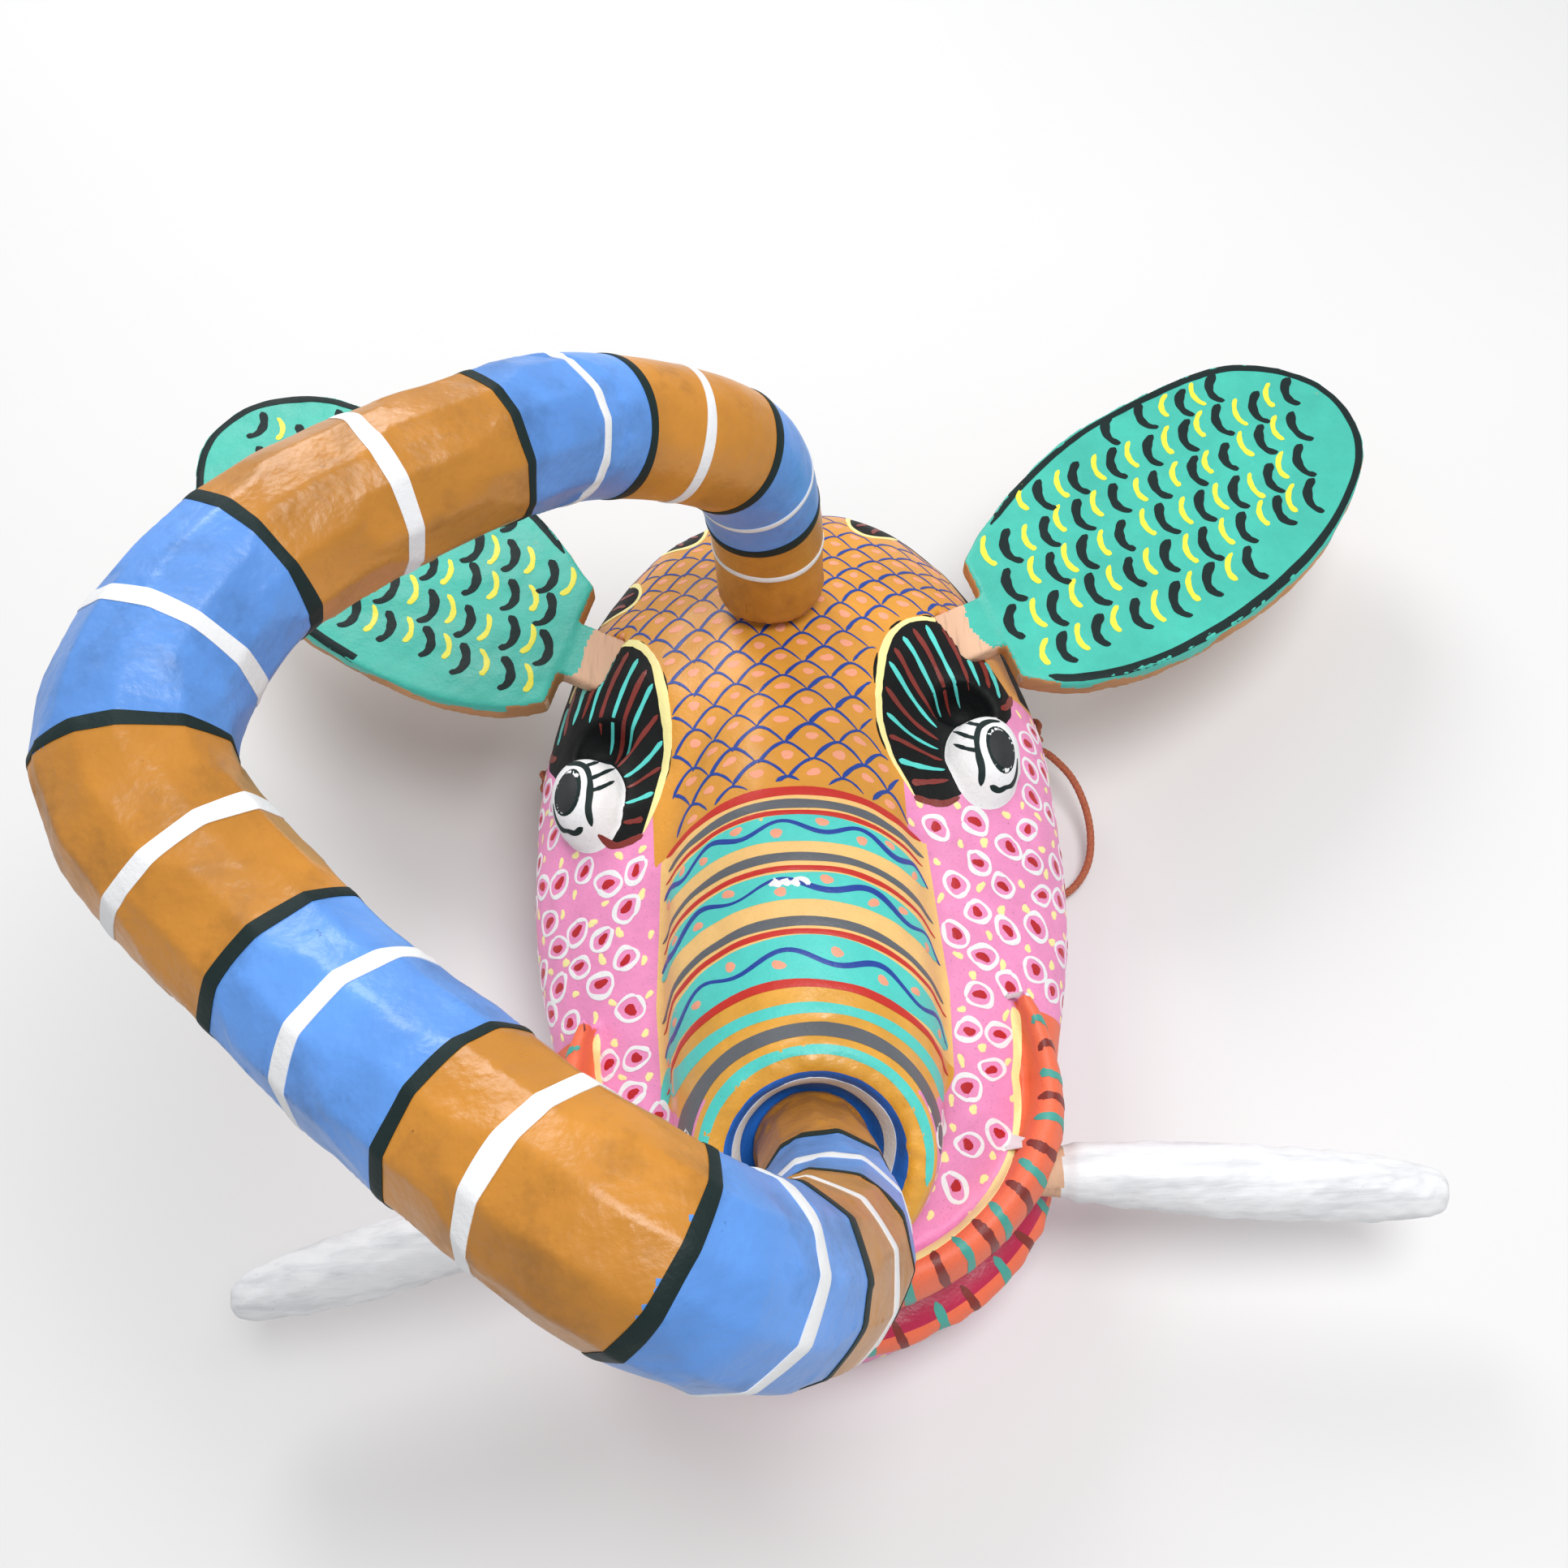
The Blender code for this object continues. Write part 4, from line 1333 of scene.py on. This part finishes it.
def even_width(path, wide):
    """A width that stays the same on the trunk's surface where its bends spread the middle line's length."""
    spread = []
    for around, length in path:
        near, far = SPINE.spot(around, length - 2)[0], SPINE.spot(around, length + 2)[0]
        spread.append((far - near).length / (4 * MM) if near and far else 1.0)
    return lambda share: wide / max(0.5, spread[min(int(share * len(spread)), len(spread) - 1)])


def trunk_ring(length, sway):
    """A ring round the trunk that wanders a little along it."""
    phase, around, path = DRAW.uniform(0, 6.28), 2 * math.pi * TRUNK_RADIUS, []
    for k in range(128):
        wander = (sway * math.sin(2 * math.pi * k / 128 + phase)
                  + 0.4 * sway * math.sin(6 * math.pi * k / 128 + 2 * phase))
        path.append((around * k / 128, length + wander))
    return path


TRUNK = make_trunk()
TRUNK_TREE = tree_of(TRUNK)
paint_trunk()


# ---------------------------------------------------------------- ears

EAR_OUTLINE = (     # millimetres along the ear and across it from its root
    (2, 24), (33, 44), (72, 59), (111, 65), (141, 65), (159, 58), (172, 46), (177, 31), (175, 15),
    (166, -1), (150, -15), (131, -27), (110, -36), (84, -43), (53, -47), (28, -46), (6, -40), (-7, -30),
)
EAR_BREADTH = {"right": 1.0, "left": 0.93}
EAR_ROOT = {"right": Vector((75, 57, 77)), "left": Vector((-77, 59, 77))}
EAR_ALONG = {"right": Vector((0.90, 0.42, -0.09)), "left": Vector((-0.87, 0.48, 0.02))}


def ear_axes(hand):
    """The ear's own root, and its directions along, across towards the crown, and out of its painted face."""
    along = EAR_ALONG[hand].normalized()
    face = (Vector((0, 0, 1)) - along * along.z).normalized()
    return ORIGIN + EAR_ROOT[hand] * MM, along, face.cross(along) * SIDE[hand] * EAR_BREADTH[hand], face


def ear_regions(hand):
    """Green over the face and smeared a little down the edge, and bare wood elsewhere."""
    root, along, _, face = ear_axes(hand)
    waves = Waves(31, 0.022)

    def regions(middle, normal, code):
        away = np.array(ORIGIN) + middle * MM - np.array(root)
        out = normal @ np.array(face)
        height = away @ np.array(face) / MM
        length = away @ np.array(along) / MM
        picked = np.full(len(middle), code["bare_edge"])
        picked[(out > 0.55) & (height > 2.2) & (length > -9.5 + 2.5 * waves.at(away))] = code["ear_green"]
        smear = (np.abs(out) <= 0.55) & (height > 1.2 + 1.8 * waves.at(away)) & (length > 4)
        picked[smear] = code["ear_green"]
        picked[(length < -6.6) & (picked != code["ear_green"])] = code["bare"]
        return picked
    return regions


def make_ear(hand):
    """A flat sawn board, a little uneven past its tenon."""
    made = fine_copy(f"ear_{hand}", f"ear_{hand}_wood", 1.0 * MM)
    smooth(made, 2)
    points, normals = get_points(made), get_normals(made)
    root, along, _, _ = ear_axes(hand)
    length = (points - np.array(root)) @ np.array(along) / MM
    free = np.clip((length + 4) / 6, 0, 1)
    push = (0.28 * MM * Waves(33, 0.03).at(points) + 0.12 * MM * Waves(34, 0.009).at(points)) * free
    set_points(made, points + normals * push[:, None])
    surfaces = {"ear_green": EAR_PAINT, "bare_edge": EDGE_WOOD, "bare": bare_wood()}
    paint_faces(made, ear_regions(hand), surfaces)
    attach(made, f"ear_{hand}")
    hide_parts(f"ear_{hand}")
    return made


def paint_ear(hand):
    """A dark border and staggered pairs of dark and yellow crescents."""
    root, along, across, face = ear_axes(hand)
    tree = tree_of(make_ear(hand))

    def spot(x, y):
        return tree.ray_cast(root + (along * x + across * y + face * 20) * MM, -face)[:2]

    dark = Marks(f"ear_{hand}_dark", f"ear_{hand}", "ear_paint", 0.2)
    bright = Marks(f"ear_{hand}_yellow", f"ear_{hand}", "ear_paint", 0.2)
    outline = smooth_path(EAR_OUTLINE, 6)
    middle = sum(outline, Vector((0, 0))) / len(outline)
    border = [p + (middle - p).normalized() * 2.6 for p in outline[3:-3]]
    dark.stroke(border, 3.0, spot, 0.02, 0.02, wobble=0.12, across=3)
    inner = [p + (middle - p).normalized() * 9 for p in outline]
    for row in range(7):
        for column in range(12):
            x = 8 + column * 16.5 + 8.2 * (row % 2) + jitter(1.3)
            y = -42 + row * 16.0 + jitter(1.3)
            if inside_outline(np.array([x]), np.array([y]), inner)[0] < 0:
                continue
            size = DRAW.uniform(0.88, 1.1)
            dark.stroke(arc((x, y), 5.5 * size, 8.2 * size, 138, 288, 17, -0.62 + jitter(0.18)),
                        lambda s: 3.1 + 0.4 * math.sin(5 * s), spot, 0.12, 0.12)
            near = (x - 8.4 + jitter(0.8), y + 1.5 + jitter(0.8))
            if inside_outline(np.array([near[0]]), np.array([near[1]]), inner)[0] > 0:
                bright.stroke(arc(near, 4.6 * size, 7.4 * size, 140, 268, 15, -0.62 + jitter(0.2)),
                              tapered(1.7, 2.5), spot, 0.12, 0.12)
    dark.finish(used_paint("ear_black"))
    bright.finish(EAR_YELLOW)


EAR_PAINT = paint("ear_green", 0.46, 0.13, 0.25, worn=0.25)
EAR_YELLOW = paint("ear_yellow", 0.45, 0.08)
EDGE_WOOD = wood("edge", BARE_WOOD, (0.3, 0.3, 1))
for hand in SIDE:
    paint_ear(hand)


# ---------------------------------------------------------------- tusks

TUSK_ROOT = {"right": Vector((75, -137, 52)), "left": Vector((-75, -137, 52))}
TUSK_TIP = {"right": Vector((194, -149, 45)), "left": Vector((-183, -160, 45))}


def tusk_regions(hand):
    """White outside the head, and bare wood on the peg."""
    root = TUSK_ROOT[hand]
    axis = (TUSK_TIP[hand] - root).normalized()

    def regions(middle, _normal, code):
        length = (middle - np.array(root)) @ np.array(axis)
        return np.where(length < 0.8, code["bare"], code["tusk"])
    return regions


def make_tusk(hand):
    """Whittled rather than turned: shallow cuts all round, and thin white paint brushed along it."""
    made = fine_copy(f"tusk_{hand}", f"tusk_{hand}_wood", 1.0 * MM)
    smooth(made, 2)
    smooth(made, 10, sharpness(made, 20, 40, 2))
    points, normals = get_points(made), get_normals(made)
    length = ((points - np.array(ORIGIN)) / MM - np.array(TUSK_ROOT[hand])) @ np.array(
        (TUSK_TIP[hand] - TUSK_ROOT[hand]).normalized())
    free = np.clip((length - 5) / 6, 0, 1)
    cuts = 0.30 * MM * Waves(41, 0.014).at(points) + 0.12 * MM * Waves(42, 0.005).at(points)
    push = (cuts - 0.15 * MM) * free
    set_points(made, points + normals * push[:, None])
    surfaces = {"tusk": TUSK_PAINT, "bare": bare_wood()}
    paint_faces(made, tusk_regions(hand), surfaces)
    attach(made, f"tusk_{hand}")
    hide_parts(f"tusk_{hand}")


def tusk_surface():
    """White paint with thin grey brushing along the tusk, and fine dark pits."""
    made = Nodes("paint_tusk")
    brushed = made.noise(150, 4, 0.7, (0.12, 1, 1))
    colour = made.mix(made.between(brushed, 0.45, 0.75, 0.0, 0.65), COLOURS["tusk_white"], (0.42, 0.44, 0.47))
    pits = made.noise(800, 3, 0.7)
    colour = made.mix(made.between(pits, 0.68, 0.74, 0.0, 0.5), colour, (0.25, 0.24, 0.23))
    made.set(made.shader.inputs["Base Color"], colour)
    made.shader.inputs["Roughness"].default_value = 0.5
    made.set(made.shader.inputs["Normal"], made.bump(brushed, 0.0004))
    return made.material


TUSK_PAINT = tusk_surface()
for hand in SIDE:
    make_tusk(hand)


# ---------------------------------------------------------------- cord

CORD_ROUTE = (
    (92.0, 31.8, 23.4), (97.5, 29.5, 20.5), (104.5, 22.5, 16), (108.5, 12.5, 12), (109.5, 1.5, 9),
    (107.5, -9, 6.5), (102, -17, 4.2), (94, -21.5, 2.7), (84, -22.5, 2.0), (72, -20, 1.9), (56, -10, 1.8),
    (38, 4, 1.8), (18, 12, 1.8), (-2, 10, 1.8), (-20, 0, 1.8), (-37, -7, 1.8), (-52, -4, 2.0), (-60, 8, 4.5),
    (-61, 20, 12), (-62, 27, 20), (-67, 30, 26), (-75, 30, 28), (-86.6, 30, 28),
)
CORD_RADIUS = 1.4
KNOTS = {"right": Vector((90.2, 36, 28)), "left": Vector((-92.2, 30, 28))}
KNOT_RADII = Vector((4.2, 5.4, 4.2))


def cord_surface():
    """Fuzzy red-brown fibre."""
    made = Nodes("cord_fibre")
    fibre = made.noise(1400, 3, 0.7)
    colour = made.mix(made.between(fibre, 0.35, 0.7), (0.30, 0.075, 0.035), (0.56, 0.17, 0.08))
    made.set(made.shader.inputs["Base Color"], colour)
    made.shader.inputs["Roughness"].default_value = 0.8
    made.set(made.shader.inputs["Normal"], made.bump(fibre, 0.0003))
    return made.material


def twisted(name, middle_line, radius, strands, pitch, surface, sides=16):
    """A closed tube whose section has one bulge for each strand and turns along it."""
    vertices, faces, travelled = [], [], 0.0
    across = Vector((0, 0, 1))
    for k, point in enumerate(middle_line):
        after, before = middle_line[min(k + 1, len(middle_line) - 1)], middle_line[max(k - 1, 0)]
        along = (after - before).normalized()
        across = (across - along * across.dot(along)).normalized()
        up = along.cross(across)
        travelled += (point - before).length / MM
        for j in range(sides):
            a = 2 * math.pi * j / sides
            bulge = 0.86 + 0.14 * abs(math.cos(strands / 2 * (a + 2 * math.pi * travelled / pitch)))
            vertices.append(point + (across * math.cos(a) + up * math.sin(a)) * radius * bulge * MM)
    rows = len(middle_line)
    for r in range(rows - 1):
        for j in range(sides):
            n = (j + 1) % sides
            faces.append((r * sides + j, r * sides + n, (r + 1) * sides + n, (r + 1) * sides + j))
    faces += [tuple(range(sides))[::-1], tuple((rows - 1) * sides + j for j in range(sides))]
    made = new_object(name, vertices, faces, [surface])
    face_out(made)
    made.data.shade_smooth()
    return made


def make_knot(hand, surface):
    """A round overhand knot: a cord wound round itself inside the knot's own ellipsoid."""
    middle, loops = KNOTS[hand], []
    for k in range(97):
        a = 2 * math.pi * k / 96
        wide = 0.62 + 0.22 * math.cos(3 * a)
        loops.append(ORIGIN + Vector((middle.x + KNOT_RADII.x * 0.62 * math.sin(3 * a),
                                      middle.y + KNOT_RADII.y * wide * math.cos(2 * a),
                                      middle.z + KNOT_RADII.z * wide * math.sin(2 * a))) * MM)
    made = twisted(f"knot_{hand}_tied", loops, 1.45, 3, 5, surface)
    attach(made, "head")
    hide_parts(f"knot_{hand}")
    return made


def make_cord():
    """The tie cord on its route through both holes, with a knot outside each."""
    surface = cord_surface()
    route = [place(*p) for p in CORD_ROUTE]
    dense = curve_through(route, 18)
    made = twisted("cord_twisted", dense, CORD_RADIUS * 1.04, 3, 6.5, surface)
    knots = [make_knot(hand, surface) for hand in SIDE]
    length = sum((b - a).length for a, b in zip(dense, dense[1:]))
    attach(made, "head")
    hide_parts("cord")
    tuple(route[0])
    [tuple(p) for p in dense[::3]]


make_cord()


# ---------------------------------------------------------------- floor, light and camera

def make_stage():
    """A plain pale floor under soft light from all round."""
    floor = new_object("floor", [(-3, -3, 0), (3, -3, 0), (3, 3, 0), (-3, 3, 0)], [(0, 1, 2, 3)])
    made = Nodes("floor_paper")
    tone = made.mix(made.noise(3, 2), (0.73, 0.73, 0.735), (0.765, 0.765, 0.765))
    made.set(made.shader.inputs["Base Color"], tone)
    made.shader.inputs["Roughness"].default_value = 0.9
    floor.data.materials.append(made.material)
    floor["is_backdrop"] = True
    world = bpy.data.worlds.new("studio")
    bpy.context.scene.world = world
    world.use_nodes = True
    world.node_tree.nodes["Background"].inputs["Color"].default_value = (1, 1, 1, 1)
    world.node_tree.nodes["Background"].inputs["Strength"].default_value = WORLD_LIGHT
    for name, where, size, power in LAMPS:
        lamp = bpy.data.lights.new(name, "AREA")
        lamp.shape, lamp.size, lamp.energy = "DISK", size, power
        holder = bpy.data.objects.new(name, lamp)
        holder.location = where
        holder.rotation_euler = (Vector((0, 0, 0.08)) - Vector(where)).to_track_quat("-Z", "Y").to_euler()
        bpy.context.scene.collection.objects.link(holder)
        holder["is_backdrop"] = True


WORLD_LIGHT = 0.52
LAMPS = (("key", (0.30, -0.15, 1.30), 0.70, 11.0), ("back", (-0.35, 1.0, 0.9), 0.6, 7.0))
CAMERA_TARGET = Vector((-0.0044, 0.0239, 0.060))
CAMERA_DISTANCE = 0.55
CAMERA_TURN = math.radians(3.55)
CAMERA_RISE = math.radians(60)
CAMERA_ROLL = math.radians(-7.07)


def make_camera():
    """A camera turned round the head, raised, rolled and held at its distance."""
    right = Vector((math.cos(CAMERA_TURN), math.sin(CAMERA_TURN), 0))
    level = Vector((math.sin(CAMERA_TURN), -math.cos(CAMERA_TURN), 0))
    back = level * math.cos(CAMERA_RISE) + Vector((0, 0, math.sin(CAMERA_RISE)))
    up = back.cross(right)
    leaned = right * math.cos(CAMERA_ROLL) + up * math.sin(CAMERA_ROLL)
    upright = up * math.cos(CAMERA_ROLL) - right * math.sin(CAMERA_ROLL)
    lens = bpy.data.cameras.new("camera")
    lens.sensor_width, lens.lens, lens.clip_start = 36, 36, 0.01
    holder = bpy.data.objects.new("camera", lens)
    holder.matrix_world = Matrix.LocRotScale(CAMERA_TARGET + back * CAMERA_DISTANCE,
                                             Matrix((leaned, upright, back)).transposed(), None)
    bpy.context.scene.collection.objects.link(holder)
    bpy.context.scene.camera = holder
    holder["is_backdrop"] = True


make_stage()
make_camera()
bpy.context.scene.view_settings.view_transform = "Standard"

boxes = {"cad": CAD_BOX, "visual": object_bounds()}
{name: [list(corner) for corner in box] for name, box in boxes.items()}
